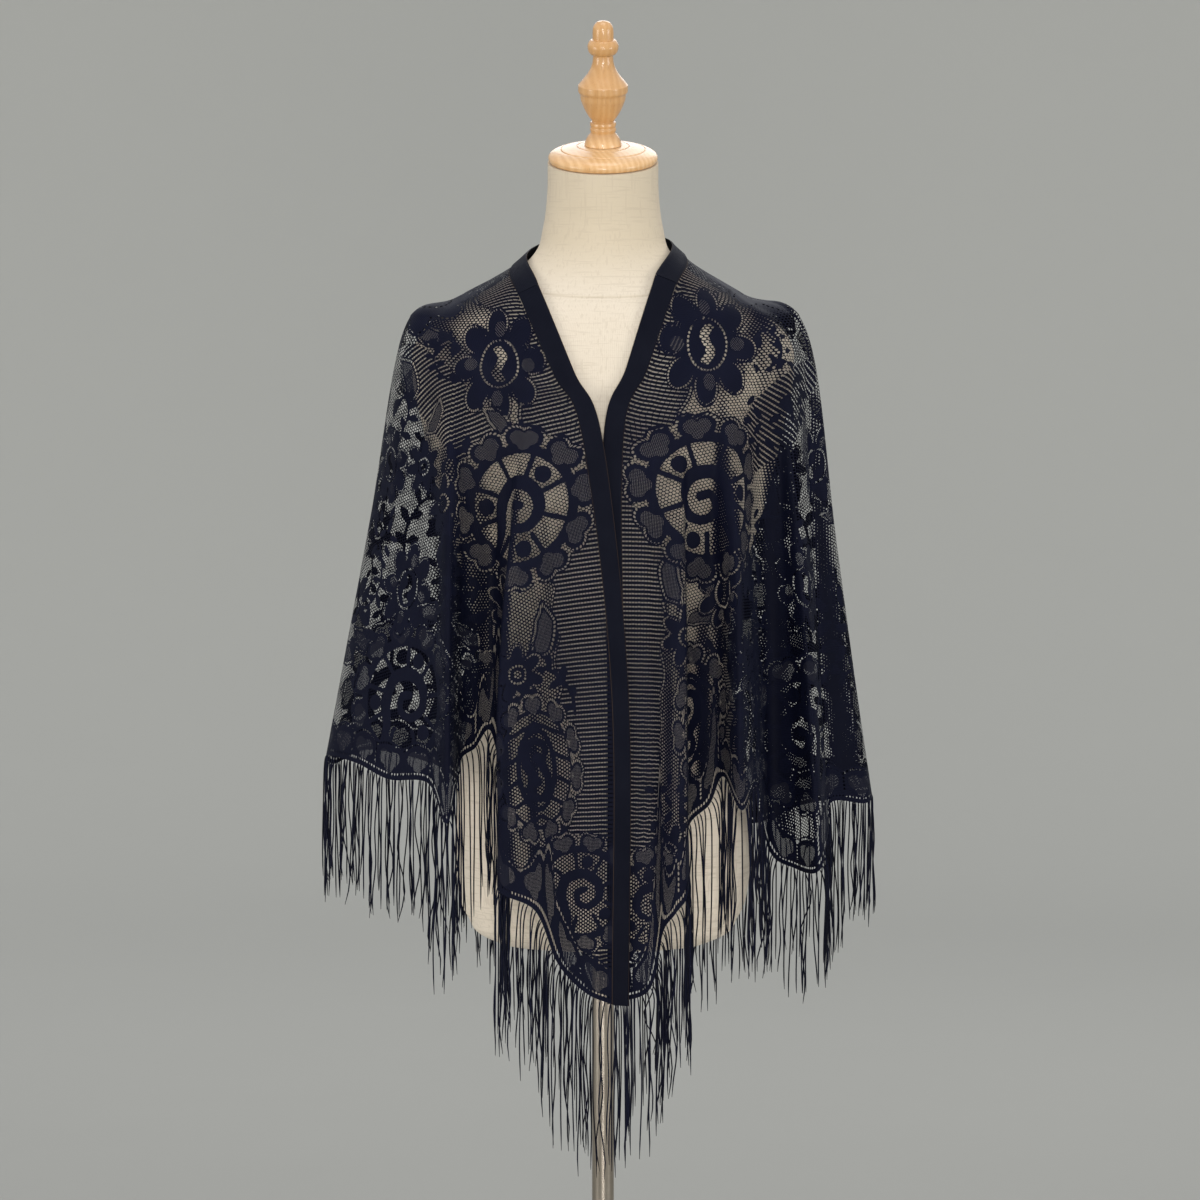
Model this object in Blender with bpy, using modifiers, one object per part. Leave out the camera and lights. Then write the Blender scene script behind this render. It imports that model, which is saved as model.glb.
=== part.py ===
"""A fringed triangle lace shawl draped on a limbless dress form with a turned wooden cap and finial.

Metres, +Z up, front facing -Y, origin at the centre of the base's underside.
The cloth is a thin wall lofted through one section for each fold, from the left front edge,
round the back, to the right front edge. Each section runs from the neck to the hem.
"""

import math

import bmesh
import bpy
import numpy as np

MM = 0.001
TINY = 1e-12
SHARP_ANGLE = math.radians(40)
MERGE_DISTANCE = 0.00001

# Cloth
CLOTH_THICKNESS = 0.0016
SEAM_GAP = 0.0003
FORM_CLEARANCE = 0.0021
CLEARANCE_SOFTNESS = 0.006
CLEARANCE_PASSES = 6
PROBE = 0.0005
ROWS_PER_FOLD = 2
SECTION_STEPS = (-1.0, -0.5, 0.0, 0.4, 0.8, 1.2, 1.6, 2.0, 2.3, 2.6, 2.9, 3.2, 3.5, 3.75, 4.0)

# The line where the cloth leaves the form: a ring round the shoulders and chest
LEAVE_SIDE = 0.197
LEAVE_FRONT_OVER = 0.129
LEAVE_FRONT_UNDER = 0.1235
LEAVE_BACK = 0.119
LEAVE_FRONT_Z = 1.196
LEAVE_SIDE_Z = 1.302
LEAVE_BACK_Z = 1.255
HALFWAY = 0.55
MIDWAY = 0.45
NECK_CROWDING = 0.75

# Fringe
FRINGE_LENGTH_SWING = 0.012
LENGTH_TURN = 2.4
FRINGE_SWAY = 0.0012
SWAY_TURN = 1.7
STRAND_WIDTH = 0.002
FRINGE_PITCH = 0.0135
STRIP_GAP = 0.0006
STRIP_HEIGHT = 0.0035
STRIP_END = 0.0006
STEEPEST_HEM = 0.38

# Form
CAP_LEAN = math.radians(15.0)
LEAN_START_Z = 1.405
NECK_TOP_Z = 1.471
TORSO_BOTTOM_Z = 0.690
TORSO_SIDES = 36
SHOULDER_SECTIONS = slice(2, 8)
WIDEST_HIP_Z = 0.81
CAP_THICKNESS = 0.017
FINIAL_STEPS = 16
CAP_STEPS = 28
BASE_STEPS = 44
POLE_RADIUS = 0.011
POLE_SIDES = 24
SOCKET_HEIGHT = 0.05

# Neck line of the shawl: share of the way round, free edge of the band, and its seam with the lace
NECK_TITLES = ("share", "edge_x", "edge_y", "edge_z", "seam_x", "seam_y", "seam_z")
NECK = (
    ("left_front", -1.00, -62, -66, 1347, -81, -60, 1336),
    ("left_side", -0.58, -70, 4, 1380, -86, 2, 1366),
    ("left_back", -0.29, -52, 54, 1394, -62, 62, 1378),
    ("back", 0.00, -5, 71, 1403, -5, 80, 1386),
    ("right_back", 0.29, 42, 54, 1401, 52, 62, 1385),
    ("right_side", 0.58, 63, 4, 1390, 78, 2, 1378),
    ("right_front", 1.00, 50, -66, 1357, 70, -60, 1348),
)

# One row for each fold of the hem: turn round the form in degrees, share of the spread that the cloth
# has reached midway down, and the hem point in millimetres
FOLD_TITLES = ("turn", "spread", "hem_x", "hem_y", "hem_z")
FOLDS = (
    ("left_edge", 0, 1.0, 25, -151, 649),
    ("left_seam", 5.5, 1.0, 10, -151, 650),
    ("left_tip_flat", 9, 0.8, -17, -158, 663),
    ("left_tip_rise", 13, 0.7, -45, -150, 692),
    ("left_tip_roll", 17.5, 0.75, -66, -160, 743),
    ("left_first_crest", 22, 0.85, -101, -165, 765),
    ("left_first_turn", 26.5, 0.75, -92, -125, 805),
    ("left_first_trough", 31, 0.6, -108, -100, 909),
    ("left_second_rise", 36, 0.7, -126, -108, 896),
    ("left_second_roll", 41.5, 0.75, -141, -122, 882),
    ("left_second_crest", 47.5, 0.8, -151, -160, 828),
    ("left_second_trough", 54, 0.7, -170, -120, 863),
    ("left_arm_front", 64, 0.5, -210, -90, 864),
    ("left_arm", 76, 0.45, -243, -60, 877),
    ("left_outline", 90, 0.45, -275, -10, 880),
    ("left_arm_back", 105, 0.45, -271, 45, 866),
    ("left_blade", 118, 0.5, -240, 88, 876),
    ("left_back_roll", 131, 0.6, -191, 128, 863),
    ("left_back_dip", 141, 0.6, -154, 118, 846),
    ("left_back_crest", 150, 0.6, -120, 152, 801),
    ("left_back_trough", 158, 0.6, -86, 132, 757),
    ("left_back_fold", 166, 0.6, -51, 160, 691),
    ("left_back_turn", 173, 0.6, -25, 146, 647),
    ("back_tip", 180, 0.6, 0, 158, 598),
    ("right_back_turn", 187, 0.6, 24, 146, 643),
    ("right_back_fold", 194, 0.6, 49, 160, 684),
    ("right_back_trough", 202, 0.6, 82, 132, 752),
    ("right_back_crest", 210, 0.6, 126, 150, 788),
    ("right_back_dip", 219, 0.6, 164, 120, 799),
    ("right_back_roll", 229, 0.6, 202, 130, 814),
    ("right_blade", 242, 0.5, 248, 92, 828),
    ("right_outline", 269, 0.45, 270, 40, 836),
    ("right_arm", 278, 0.45, 263, 10, 830),
    ("right_arm_turn", 286, 0.5, 229, 0, 832),
    ("right_low_rise", 293, 0.6, 223, -40, 804),
    ("right_low_crest", 299, 0.6, 213, -70, 771),
    ("right_low_roll", 305, 0.6, 191, -38, 770),
    ("right_deep_trough", 311, 0.6, 164, -34, 788),
    ("right_deep_wall", 317, 0.6, 150, -100, 858),
    ("right_second_crest", 322, 0.8, 134, -150, 840),
    ("right_second_roll", 327, 0.7, 118, -112, 869),
    ("right_first_trough", 332, 0.6, 104, -105, 841),
    ("right_first_turn", 336.5, 0.7, 82, -120, 818),
    ("right_first_crest", 340, 0.8, 82, -155, 762),
    ("right_tip_roll", 343.5, 0.8, 71, -160, 741),
    ("right_tip_rise", 347, 0.8, 58, -148, 719),
    ("right_tip_flat", 350.5, 0.8, 46, -155, 667),
    ("right_seam", 354.5, 1.0, 19, -145, 652),
    ("right_edge", 360, 1.0, 4, -145, 650),
)

# The stretches of lace, the folds where they part, and the length of their fringe
PANELS = (
    ("front_left", "left_seam", "left_second_trough", 0.155),
    ("side_left", "left_second_trough", "left_blade", 0.125),
    ("back", "left_blade", "right_blade", 0.15),
    ("side_right", "right_blade", "right_deep_wall", 0.112),
    ("front_right", "right_deep_wall", "right_seam", 0.15),
)

# Sections of the linen form, top to bottom, in millimetres
FORM_TITLES = ("z", "half_width", "front", "back")
FORM = (
    ("neck_top", 1471, 55, 55, 55),
    ("neck", 1440, 55.5, 55.5, 56),
    ("neck_low", 1405, 60, 57, 59),
    ("neck_root", 1384, 66, 62, 66),
    ("slope_top", 1362, 88, 69, 79),
    ("slope_mid", 1340, 124, 77, 88),
    ("slope_low", 1317, 165, 86, 97),
    ("shoulder", 1293, 187, 94, 104),
    ("arm", 1264, 190, 101, 109),
    ("chest", 1208, 180, 111, 111),
    ("bust", 1140, 164, 117, 106),
    ("ribs", 1060, 140, 106, 95),
    ("waist", 985, 124, 92, 87),
    ("high_hip", 900, 138, 100, 100),
    ("hip", 810, 148, 108, 114),
    ("seat", 760, 147, 107, 112),
    ("seat_round", 718, 136, 97, 102),
    ("under", 697, 118, 82, 86),
    ("flat", 690, 100, 68, 71),
)

# Turned profiles: height above the piece's foot and radius, in millimetres, top to bottom
FINIAL = (
    (124.9, 0), (123.9, 5), (121.2, 8.2), (117, 10.0), (111.6, 10.45), (106, 10.45),
    (105.6, 12.2), (102.2, 14.6), (99, 15.4), (94.8, 14.6), (91.2, 12.0),
    (90.2, 9.95), (84.5, 10.3), (78.8, 11.8), (71.7, 15.5), (65.1, 20.8), (61.2, 23.8),
    (60, 24.7), (54.3, 24.7), (51.2, 22.8), (46.5, 22.3), (41.8, 20.7), (34.9, 17.7),
    (29.1, 14.3), (24.2, 10.8), (23.1, 12.6), (20.5, 13.0), (18.3, 12.2), (16.3, 13.0),
    (13.7, 12.4), (12.7, 12.2), (8.5, 15.5), (3.7, 17.6), (0.9, 18.3), (0, 18.3), (0, 0),
)
CAP = (
    (17.0, 0), (17.0, 19), (16.4, 25.3), (15.6, 26.0), (16.2, 26.7), (14.4, 36), (13.2, 41.3),
    (12.2, 42.0), (12.8, 42.7), (10.6, 49), (7.6, 53.2), (4.4, 54.5), (1.6, 53.6), (0, 51.5), (0, 0),
)
BASE = (
    (50, 0), (50, 18), (49, 19), (16, 19), (14, 23), (13.2, 34), (12, 60),
    (10, 180), (8, 186.5), (5, 190), (1.5, 190), (0, 188.5), (0, 0),
)

COLOURS = {
    "lace": ((0.012, 0.015, 0.035, 1.0), 0.62, 0.0),
    "band": ((0.008, 0.010, 0.027, 1.0), 0.60, 0.0),
    "fringe": ((0.010, 0.012, 0.028, 1.0), 0.55, 0.0),
    "linen": ((0.82, 0.74, 0.62, 1.0), 0.85, 0.0),
    "wood": ((0.72, 0.42, 0.18, 1.0), 0.30, 0.0),
    "metal": ((0.74, 0.68, 0.58, 1.0), 0.28, 0.9),
}


def columns_of(rows, titles):
    """A table's rows as one array for each title, without the names in front."""
    return {title: np.array([row[i] for row in rows], float) for i, title in enumerate(titles, 1)}


def smooth(at, stations, values):
    """Values given at rising stations, read on a smooth curve: cubic pieces with averaged slopes."""
    at = np.asarray(at, float)
    stations = np.asarray(stations, float)
    slopes = np.gradient(values, stations, axis=0)
    piece = np.clip(np.searchsorted(stations, at, side="right") - 1, 0, len(stations) - 2)
    width = stations[piece + 1] - stations[piece]
    t = (at - stations[piece]) / width
    shape = at.shape + (1,) * (values.ndim - 1)
    t = t.reshape(shape)
    width = width.reshape(shape)
    start = (1 + 2 * t) * (1 - t) ** 2 * values[piece] + t * (1 - t) ** 2 * width * slopes[piece]
    end = t**2 * (3 - 2 * t) * values[piece + 1] + t**2 * (t - 1) * width * slopes[piece + 1]
    return start + end


def form_sizes(z):
    """Half width, front depth and back depth of the form at each height."""
    form = columns_of(FORM[::-1], FORM_TITLES)
    heights = form["z"] * MM
    sizes = np.stack([form["half_width"], form["front"], form["back"]], axis=1) * MM
    return smooth(np.clip(z, heights[0], heights[-1]), heights, sizes)


def form_reach(points):
    """How far out each point is, as a share of the form's section at its height, or of the hips below."""
    sizes = form_sizes(np.maximum(points[..., 2], WIDEST_HIP_Z))
    depth = np.where(points[..., 1] < 0, sizes[..., 1], sizes[..., 2])
    return np.hypot(points[..., 0] / sizes[..., 0], points[..., 1] / depth)


def form_gap(points):
    """Distance of each point from the form, and the direction away from it, to first order."""
    slope = np.stack(
        [
            (form_reach(points + PROBE * axis) - form_reach(points - PROBE * axis)) / (2 * PROBE)
            for axis in np.eye(3)
        ],
        axis=-1,
    )
    steepness = np.linalg.norm(slope, axis=-1, keepdims=True)
    return (form_reach(points) - 1) / steepness[..., 0], slope / steepness


def clear_of_form(points, clearance):
    """Moves the points that are in or near the form out to its surface plus the clearance, softly."""
    gap = form_gap(points)[0] - clearance
    wanted = clearance + (gap + np.sqrt(gap**2 + CLEARANCE_SOFTNESS**2)) / 2
    for _ in range(CLEARANCE_PASSES):
        gap, away = form_gap(points)
        points = points + away * (wanted - gap)[..., None]
    return points


def fold_index(name):
    """The place of a named fold in the table."""
    return [row[0] for row in FOLDS].index(name)


def neck_line(share, edge):
    """Points on the neck line, at shares from -1 at the left front to 1 at the right front."""
    neck = columns_of(NECK, NECK_TITLES)
    line = np.stack([neck[f"{edge}_{axis}"] for axis in "xyz"], axis=1) * MM
    return smooth(share, neck["share"], line)


def neck_share(index):
    """Where on the neck line a fold's section starts: crowded at the fronts, even round the back."""
    last = len(FOLDS) - 1
    back = fold_index("back_tip")
    far = np.where(index < back, (index - 1) / (back - 1), (last - 1 - index) / (last - 1 - back))
    far = np.clip(far, 0, 1)
    return np.sign(index - back) * (1 - NECK_CROWDING * far - (1 - NECK_CROWDING) * far**2)


def leave_ring(turn):
    """The points where the sections leave the form, for turns in degrees from the front."""
    sine = np.sin(np.radians(turn))
    cosine = np.cos(np.radians(turn))
    front = np.where(turn < 180, LEAVE_FRONT_OVER, LEAVE_FRONT_UNDER)
    depth = np.where(cosine > 0, front, LEAVE_BACK)
    middle_z = np.where(cosine > 0, LEAVE_FRONT_Z, LEAVE_BACK_Z)
    z = middle_z + (LEAVE_SIDE_Z - middle_z) * sine**2
    return np.stack([-LEAVE_SIDE * sine, -depth * cosine, z], axis=1)


def section_knots():
    """Six knots for each fold's section: neck edge, band seam, halfway, leaving ring, midway down, hem."""
    folds = columns_of(FOLDS, FOLD_TITLES)
    share = neck_share(np.arange(len(FOLDS)))
    edge = neck_line(share, "edge")
    seam = neck_line(share, "seam")
    for end in (0, -1):
        edge[end], seam[end] = 2 * edge[end] - seam[end], edge[end].copy()
    ring = leave_ring(folds["turn"])
    hem = np.stack([folds["hem_x"], folds["hem_y"], folds["hem_z"]], axis=1) * MM
    spread = np.stack([folds["spread"], folds["spread"], np.full(len(FOLDS), MIDWAY)], axis=1)
    halfway = seam + HALFWAY * (ring - seam)
    return np.stack([edge, seam, halfway, ring, ring + spread * (hem - ring), hem], axis=1)


def cloth_grid(places, steps):
    """Inner and outer cloth points: sections at places among the folds, each read at the steps.

    Steps count the knots from the seam of the neck band, at 0, to the hem, at 4, and go back to -1 at the
    band's free edge. The surface is smooth over the lace, and straight across the bands.
    """
    knots = section_knots()
    last = len(knots) - 1
    lace = smooth(np.clip(places, 1, last - 1), np.arange(1, last), knots[1:-1])
    left = np.clip(1 - places, 0, 1)[:, None, None] * (knots[0] - knots[1])
    right = np.clip(places - last + 1, 0, 1)[:, None, None] * (knots[-1] - knots[-2])
    edge, *drop = np.swapaxes(lace + left + right, 0, 1)
    points = smooth(np.maximum(steps, 0), np.arange(len(drop)), np.array(drop))
    points += np.maximum(-steps, 0)[:, None, None] * (edge - drop[0])
    inner = clear_of_form(np.swapaxes(points, 0, 1), FORM_CLEARANCE)
    return inner, inner + CLOTH_THICKNESS * outward(inner)


def unit(vectors):
    """The vectors drawn to a length of one."""
    return vectors / np.maximum(np.linalg.norm(vectors, axis=-1, keepdims=True), TINY)


def outward(points):
    """Unit normals of a grid of cloth points, pointing away from the form."""
    return unit(np.cross(np.gradient(points, axis=0), np.gradient(points, axis=1)))


def drawn_in(points, side, distance):
    """Moves one side of a grid straight in from its seam, to leave a gap there."""
    points = points.copy()
    rim, inner = {
        "first": ((0,), (1,)),
        "last": ((-1,), (-2,)),
        "top": ((slice(None), 0), (slice(None), 1)),
    }[side]
    along = unit(np.gradient(points[rim], axis=0))
    step = points[inner] - points[rim]
    points[rim] += distance * unit(step - along * (step * along).sum(axis=-1, keepdims=True))
    return points


def material(kind):
    """A Principled material of a kind, made once and shared."""
    name = f"shawl_{kind}"
    if name in bpy.data.materials:
        return bpy.data.materials[name]
    colour, roughness, metallic = COLOURS[kind]
    made = bpy.data.materials.new(name)
    made.use_nodes = True
    shader = made.node_tree.nodes["Principled BSDF"]
    shader.inputs["Base Color"].default_value = colour
    shader.inputs["Roughness"].default_value = roughness
    shader.inputs["Metallic"].default_value = metallic
    made.diffuse_color = colour
    return made


def new_object(name, vertices, faces, kind, edges=()):
    """A mesh object of a kind of material, in the shawl's collection."""
    mesh = bpy.data.meshes.new(name)
    mesh.from_pydata([tuple(v) for v in vertices], edges, faces)
    mesh.materials.append(material(kind))
    made = bpy.data.objects.new(name, mesh)
    collection.objects.link(made)
    return made


def close_outward(made):
    """Turns the faces of a closed body to point out and shades it smooth, but for its edges."""
    body = bmesh.new()
    body.from_mesh(made.data)
    bmesh.ops.recalc_face_normals(body, faces=body.faces)
    body.to_mesh(made.data)
    body.free()
    made.data.shade_smooth()
    made.data.set_sharp_from_angle(angle=SHARP_ANGLE)


def wall(name, inner, outer, kind):
    """A closed wall between two grids of points: two skins and the four rims that join them."""
    count, steps = inner.shape[:2]
    number = np.arange(2 * count * steps).reshape(2, count, steps)
    skins = [
        (skin[i, j], skin[i + 1, j], skin[i + 1, j + 1], skin[i, j + 1])
        for skin in number
        for i in range(count - 1)
        for j in range(steps - 1)
    ]
    rims = []
    for path in (number[:, :, 0], number[:, :, -1], number[:, 0, :], number[:, -1, :]):
        rims += [(path[0, k], path[0, k + 1], path[1, k + 1], path[1, k]) for k in range(path.shape[1] - 1)]
    vertices = np.concatenate([inner.reshape(-1, 3), outer.reshape(-1, 3)])
    made = new_object(name, vertices, [tuple(map(int, face)) for face in skins + rims], kind)
    close_outward(made)
    return made


def cut(grid, columns, rows, seams):
    """A stretch of both skins of the cloth, drawn in at its seams."""
    stretch = []
    for skin in grid:
        skin = skin[columns, rows]
        for side in seams:
            skin = drawn_in(skin, side, SEAM_GAP)
        stretch.append(skin)
    return stretch


def cloth():
    """The lace panels, their fringes and the edge bands, all cut from one surface so that they match."""
    last = len(FOLDS) - 1
    places = np.linspace(0, last, ROWS_PER_FOLD * last + 1)
    grid = cloth_grid(places, np.array(SECTION_STEPS))
    seam_row = SECTION_STEPS.index(0.0)
    below = slice(seam_row, None)
    for name, start, end, strand_length in PANELS:
        columns = slice(column_of(start), column_of(end) + 1)
        wall(f"lace_{name}", *cut(grid, columns, below, ("first", "last", "top")), "lace")
        first = 0 if start == "left_seam" else columns.start
        beyond = None if end == "right_seam" else columns.stop
        fringe(name, *(skin[first:beyond, -1] for skin in grid), strand_length)
    left = slice(0, column_of("left_seam") + 1)
    right = slice(column_of("right_seam"), None)
    wall("band_front_left", *cut(grid, left, below, ("top",)), "band")
    wall("band_front_right", *cut(grid, right, below, ("top",)), "band")
    lace = slice(column_of("left_seam"), column_of("right_seam") + 1)
    wall("band_neck", *cut(grid, lace, slice(0, seam_row + 1), ()), "band")


def column_of(fold):
    """The grid column on a named fold."""
    return ROWS_PER_FOLD * fold_index(fold)


def fringe(name, inner, outer, strand_length):
    """A narrow strip just under a stretch of hem, with strands drawn down from its underside.

    The strip repeats the hem's own points, so that it stays parallel to the wall above it.
    """
    legs = np.diff(inner, axis=0)
    lengths = np.linalg.norm(legs, axis=1)
    flatness = np.maximum(np.linalg.norm(legs[:, :2], axis=1) / lengths, STEEPEST_HEM)
    along = np.concatenate([[0], np.cumsum(lengths)])
    counts = np.diff(np.floor(along / FRINGE_PITCH + 0.5)).astype(int)
    roots = [
        (start + (k + 0.5) * length / count + side * STRAND_WIDTH / 2 / flat, side)
        for start, length, count, flat in zip(along, lengths, counts, flatness)
        for k in range(count)
        for side in (-1, 1)
    ]
    ends = [(STRIP_END, 0), (along[-1] - STRIP_END, 0)]
    marks = sorted(roots + ends + [(bend, 0) for bend in along[1:-1]])
    at = [mark for mark, _ in marks]
    lines = [
        np.stack([np.interp(at, along, line[:, axis]) for axis in range(3)], axis=1)
        for line in (inner, outer)
    ]
    strip = bmesh.new()
    steepest = np.minimum(np.append(flatness, 1), np.insert(flatness, 0, 1))
    drop = STRIP_GAP / np.interp(at, along, steepest)
    down = np.outer(drop, (0, 0, 1))
    top, bottom = (
        [[strip.verts.new(point) for point in line - down - (0, 0, height)] for line in lines]
        for height in (0, STRIP_HEIGHT)
    )
    rings = (top[0], top[1], bottom[1], bottom[0])
    for k, (_, side) in enumerate(marks[:-1]):
        faces = [
            strip.faces.new((one[k], one[k + 1], other[k + 1], other[k]))
            for one, other in zip(rings, rings[1:] + rings[:1])
        ]
        if side == -1:
            draw_strand(strip, faces[2], strand_length, k)
    for k in (0, -1):
        strip.faces.new([ring[k] for ring in rings])
    mesh = bpy.data.meshes.new(f"fringe_{name}")
    strip.to_mesh(mesh)
    strip.free()
    mesh.materials.append(material("fringe"))
    made = bpy.data.objects.new(f"fringe_{name}", mesh)
    collection.objects.link(made)
    close_outward(made)


def draw_strand(strip, root, length, number):
    """Draws one face of the strip's underside down into a strand, a little longer or shorter in turn."""
    end = bmesh.ops.extrude_discrete_faces(strip, faces=[root])["faces"][0]
    length += FRINGE_LENGTH_SWING * math.sin(LENGTH_TURN * number)
    sway = FRINGE_SWAY * math.sin(SWAY_TURN * number) * np.array([math.cos(number), math.sin(number), 0])
    bmesh.ops.translate(strip, verts=end.verts, vec=sway - (0, 0, length))


def torso():
    """The linen form: a loft through its sections, whose neck leans forward under the cap."""
    heights = columns_of(FORM, FORM_TITLES)["z"] * MM
    between = (heights[:-1] + heights[1:])[SHOULDER_SECTIONS] / 2
    heights = np.sort(np.concatenate([heights, between]))[::-1]
    sizes = form_sizes(heights)
    angle = np.linspace(0, 2 * math.pi, TORSO_SIDES, endpoint=False)
    depth = np.where(np.sin(angle) < 0, sizes[:, 1:2], sizes[:, 2:3])
    x = sizes[:, 0:1] * np.cos(angle)
    y = depth * np.sin(angle)
    lean = math.tan(CAP_LEAN) * np.clip((heights - LEAN_START_Z) / (NECK_TOP_Z - LEAN_START_Z), 0, 1)
    z = heights[:, None] + lean[:, None] * y
    points = np.stack([x, y, z], axis=-1)
    count = len(heights)
    number = np.arange(count * TORSO_SIDES).reshape(count, TORSO_SIDES)
    following = np.roll(number, -1, axis=1)
    faces = [
        (number[i, j], following[i, j], following[i + 1, j], number[i + 1, j])
        for i in range(count - 1)
        for j in range(TORSO_SIDES)
    ]
    faces += [tuple(number[0]), tuple(number[-1])]
    made = new_object("form_torso", points.reshape(-1, 3), [tuple(map(int, f)) for f in faces], "linen")
    close_outward(made)


def turned(name, profile, steps, kind):
    """A turned piece: its profile of heights and radii, spun round the upright axis."""
    vertices = [(radius * MM, 0, height * MM) for height, radius in profile]
    edges = [(i, i + 1) for i in range(len(vertices) - 1)]
    made = new_object(name, vertices, [], kind, edges)
    spin = made.modifiers.new("turned", "SCREW")
    spin.steps = steps
    spin.render_steps = steps
    spin.use_merge_vertices = True
    spin.merge_threshold = MERGE_DISTANCE
    made.data.shade_smooth()
    return made


def form_pieces():
    """The dress form: torso, cap, finial, pole and base, each with a hair's gap to the next."""
    torso()
    lean = bpy.data.objects.new("cap_lean", None)
    lean.location = (0, 0, NECK_TOP_Z + SEAM_GAP)
    lean.rotation_euler = (CAP_LEAN, 0, 0)
    collection.objects.link(lean)
    cap = turned("form_neck_cap", CAP, CAP_STEPS, "wood")
    cap.parent = lean
    finial = turned("form_finial", FINIAL, FINIAL_STEPS, "wood")
    finial.parent = lean
    finial.location = (0, 0, CAP_THICKNESS + SEAM_GAP)
    base = turned("form_base", BASE, BASE_STEPS, "metal")
    base.location = (0, 0, 0)
    bottom = SOCKET_HEIGHT + SEAM_GAP
    top = TORSO_BOTTOM_Z - SEAM_GAP
    bpy.ops.mesh.primitive_cylinder_add(
        vertices=POLE_SIDES, radius=POLE_RADIUS, depth=top - bottom, location=(0, 0, (top + bottom) / 2)
    )
    pole = bpy.context.object
    pole.name = "form_pole"
    pole.data.materials.append(material("metal"))
    for owner in pole.users_collection:
        owner.objects.unlink(pole)
    collection.objects.link(pole)
    pole.data.shade_smooth()
    pole.data.set_sharp_from_angle(angle=SHARP_ANGLE)


for old in list(bpy.data.objects):
    bpy.data.objects.remove(old, do_unlink=True)
collection = bpy.data.collections.new("lace_shawl_on_dress_form")
bpy.context.scene.collection.children.link(collection)

cloth()
form_pieces()
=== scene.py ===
"""The looks of a fringed lace shawl that hangs on a limbless dress form.

Metres, +Z up, front facing -Y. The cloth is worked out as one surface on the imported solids' form, and
cut into its stretches. The lace is drawn in the cloth's flat cut: u runs along the long edge from the
middle of the back, and v runs from that edge to the fringed corner.
"""

import math

import bpy
import mathutils
import numpy as np
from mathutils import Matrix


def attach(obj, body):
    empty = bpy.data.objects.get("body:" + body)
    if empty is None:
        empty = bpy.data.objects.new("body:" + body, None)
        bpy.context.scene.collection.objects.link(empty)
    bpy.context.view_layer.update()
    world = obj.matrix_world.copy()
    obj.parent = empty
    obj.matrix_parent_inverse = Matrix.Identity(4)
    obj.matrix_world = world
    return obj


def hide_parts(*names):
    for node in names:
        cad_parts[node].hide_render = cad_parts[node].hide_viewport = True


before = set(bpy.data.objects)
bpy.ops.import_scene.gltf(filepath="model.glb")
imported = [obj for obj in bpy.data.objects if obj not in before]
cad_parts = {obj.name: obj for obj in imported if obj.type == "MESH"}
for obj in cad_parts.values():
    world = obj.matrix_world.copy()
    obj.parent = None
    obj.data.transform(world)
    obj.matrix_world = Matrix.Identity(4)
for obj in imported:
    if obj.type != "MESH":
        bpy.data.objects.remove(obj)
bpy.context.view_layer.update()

MM = 0.001
TO_MM = 1000
TINY = 1e-12
FULL_TURN = 2 * math.pi

# Cloth: its form, as the solids have it
CLOTH_THICKNESS = 0.0016
FORM_CLEARANCE = 0.0021
CLEARANCE_SOFTNESS = 0.006
CLEARANCE_PASSES = 6
PROBE = 0.0005
LEAVE_SIDE = 0.197
LEAVE_FRONT_OVER = 0.129
LEAVE_FRONT_UNDER = 0.1235
LEAVE_BACK = 0.119
LEAVE_FRONT_Z = 1.196
LEAVE_SIDE_Z = 1.302
LEAVE_BACK_Z = 1.255
HALFWAY = 0.55
MIDWAY = 0.45
NECK_CROWDING = 0.75
CREASE_FULLNESS = 0.8

# Cloth: its grid, and its flat cut
COLUMNS_PER_FOLD = 16
ROWS = 250
ROW_SHARES = (0.0, 0.09, 0.20, 0.57, 1.0)
CUT_HALF_WIDTH = 0.925
CUT_DEPTH = 0.82
NECK_HALF_WIDTH = 0.178
BAND_WIDTH = 0.019
FLATTENING = ((16, 25, 500), (8, 10, 900), (4, 5, 700))
CELL_PULL = 0.12
MAP_MARGIN = 0.004
HEM_REACH_ROWS = 5
BAND_THICKNESS = 0.0011
BAND_LIFT = 0.0003
BAND_OVERLAP = 0.06
BAND_ROWS = 420
BAND_COLUMNS = 15

# Fringe: its strands, and their rings
FRINGE_SEED = 11
STRAND_PITCH = 0.0055
STRAND_JITTER = 0.32
STRAND_RADIUS = 0.00070
STRAND_RINGS = 16
STRAND_SIDES = 4
STRAND_TAPER = ((0, 0.6), (0.04, 1), (0.93, 1), (1, 0.35))
RING_CROWDING = 1.45
RING_LEAN = (0.35, 0.9, 0.2)

# Fringe: how the strands leave the hem, how long they are, and how they sway
HEM_STEPS = (3.9, 3.97, 4.0)
HEM_SQUARE = 0.85
LEAVE_NOISE = 0.10
BEND_LENGTH = 0.010
LENGTH_MEAN = 1.02
LENGTH_NOISE = 0.08
LENGTH_LIMITS = (0.74, 1.16)
LENGTH_SWING = 0.006
SWING_LENGTH = 0.031
CLUMP_START = 0.24
CLUMP_PULL = (-0.05, 0.28)
PULL_GROWTH = 0.9
WAVE_TURNS = (0.5, 2.1)
WAVE_SPREAD = (1.7, 0.0009)
WAVE_GROWTH = 0.5
DRIFT = 0.0016
DRIFT_GROWTH = 1.6

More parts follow.
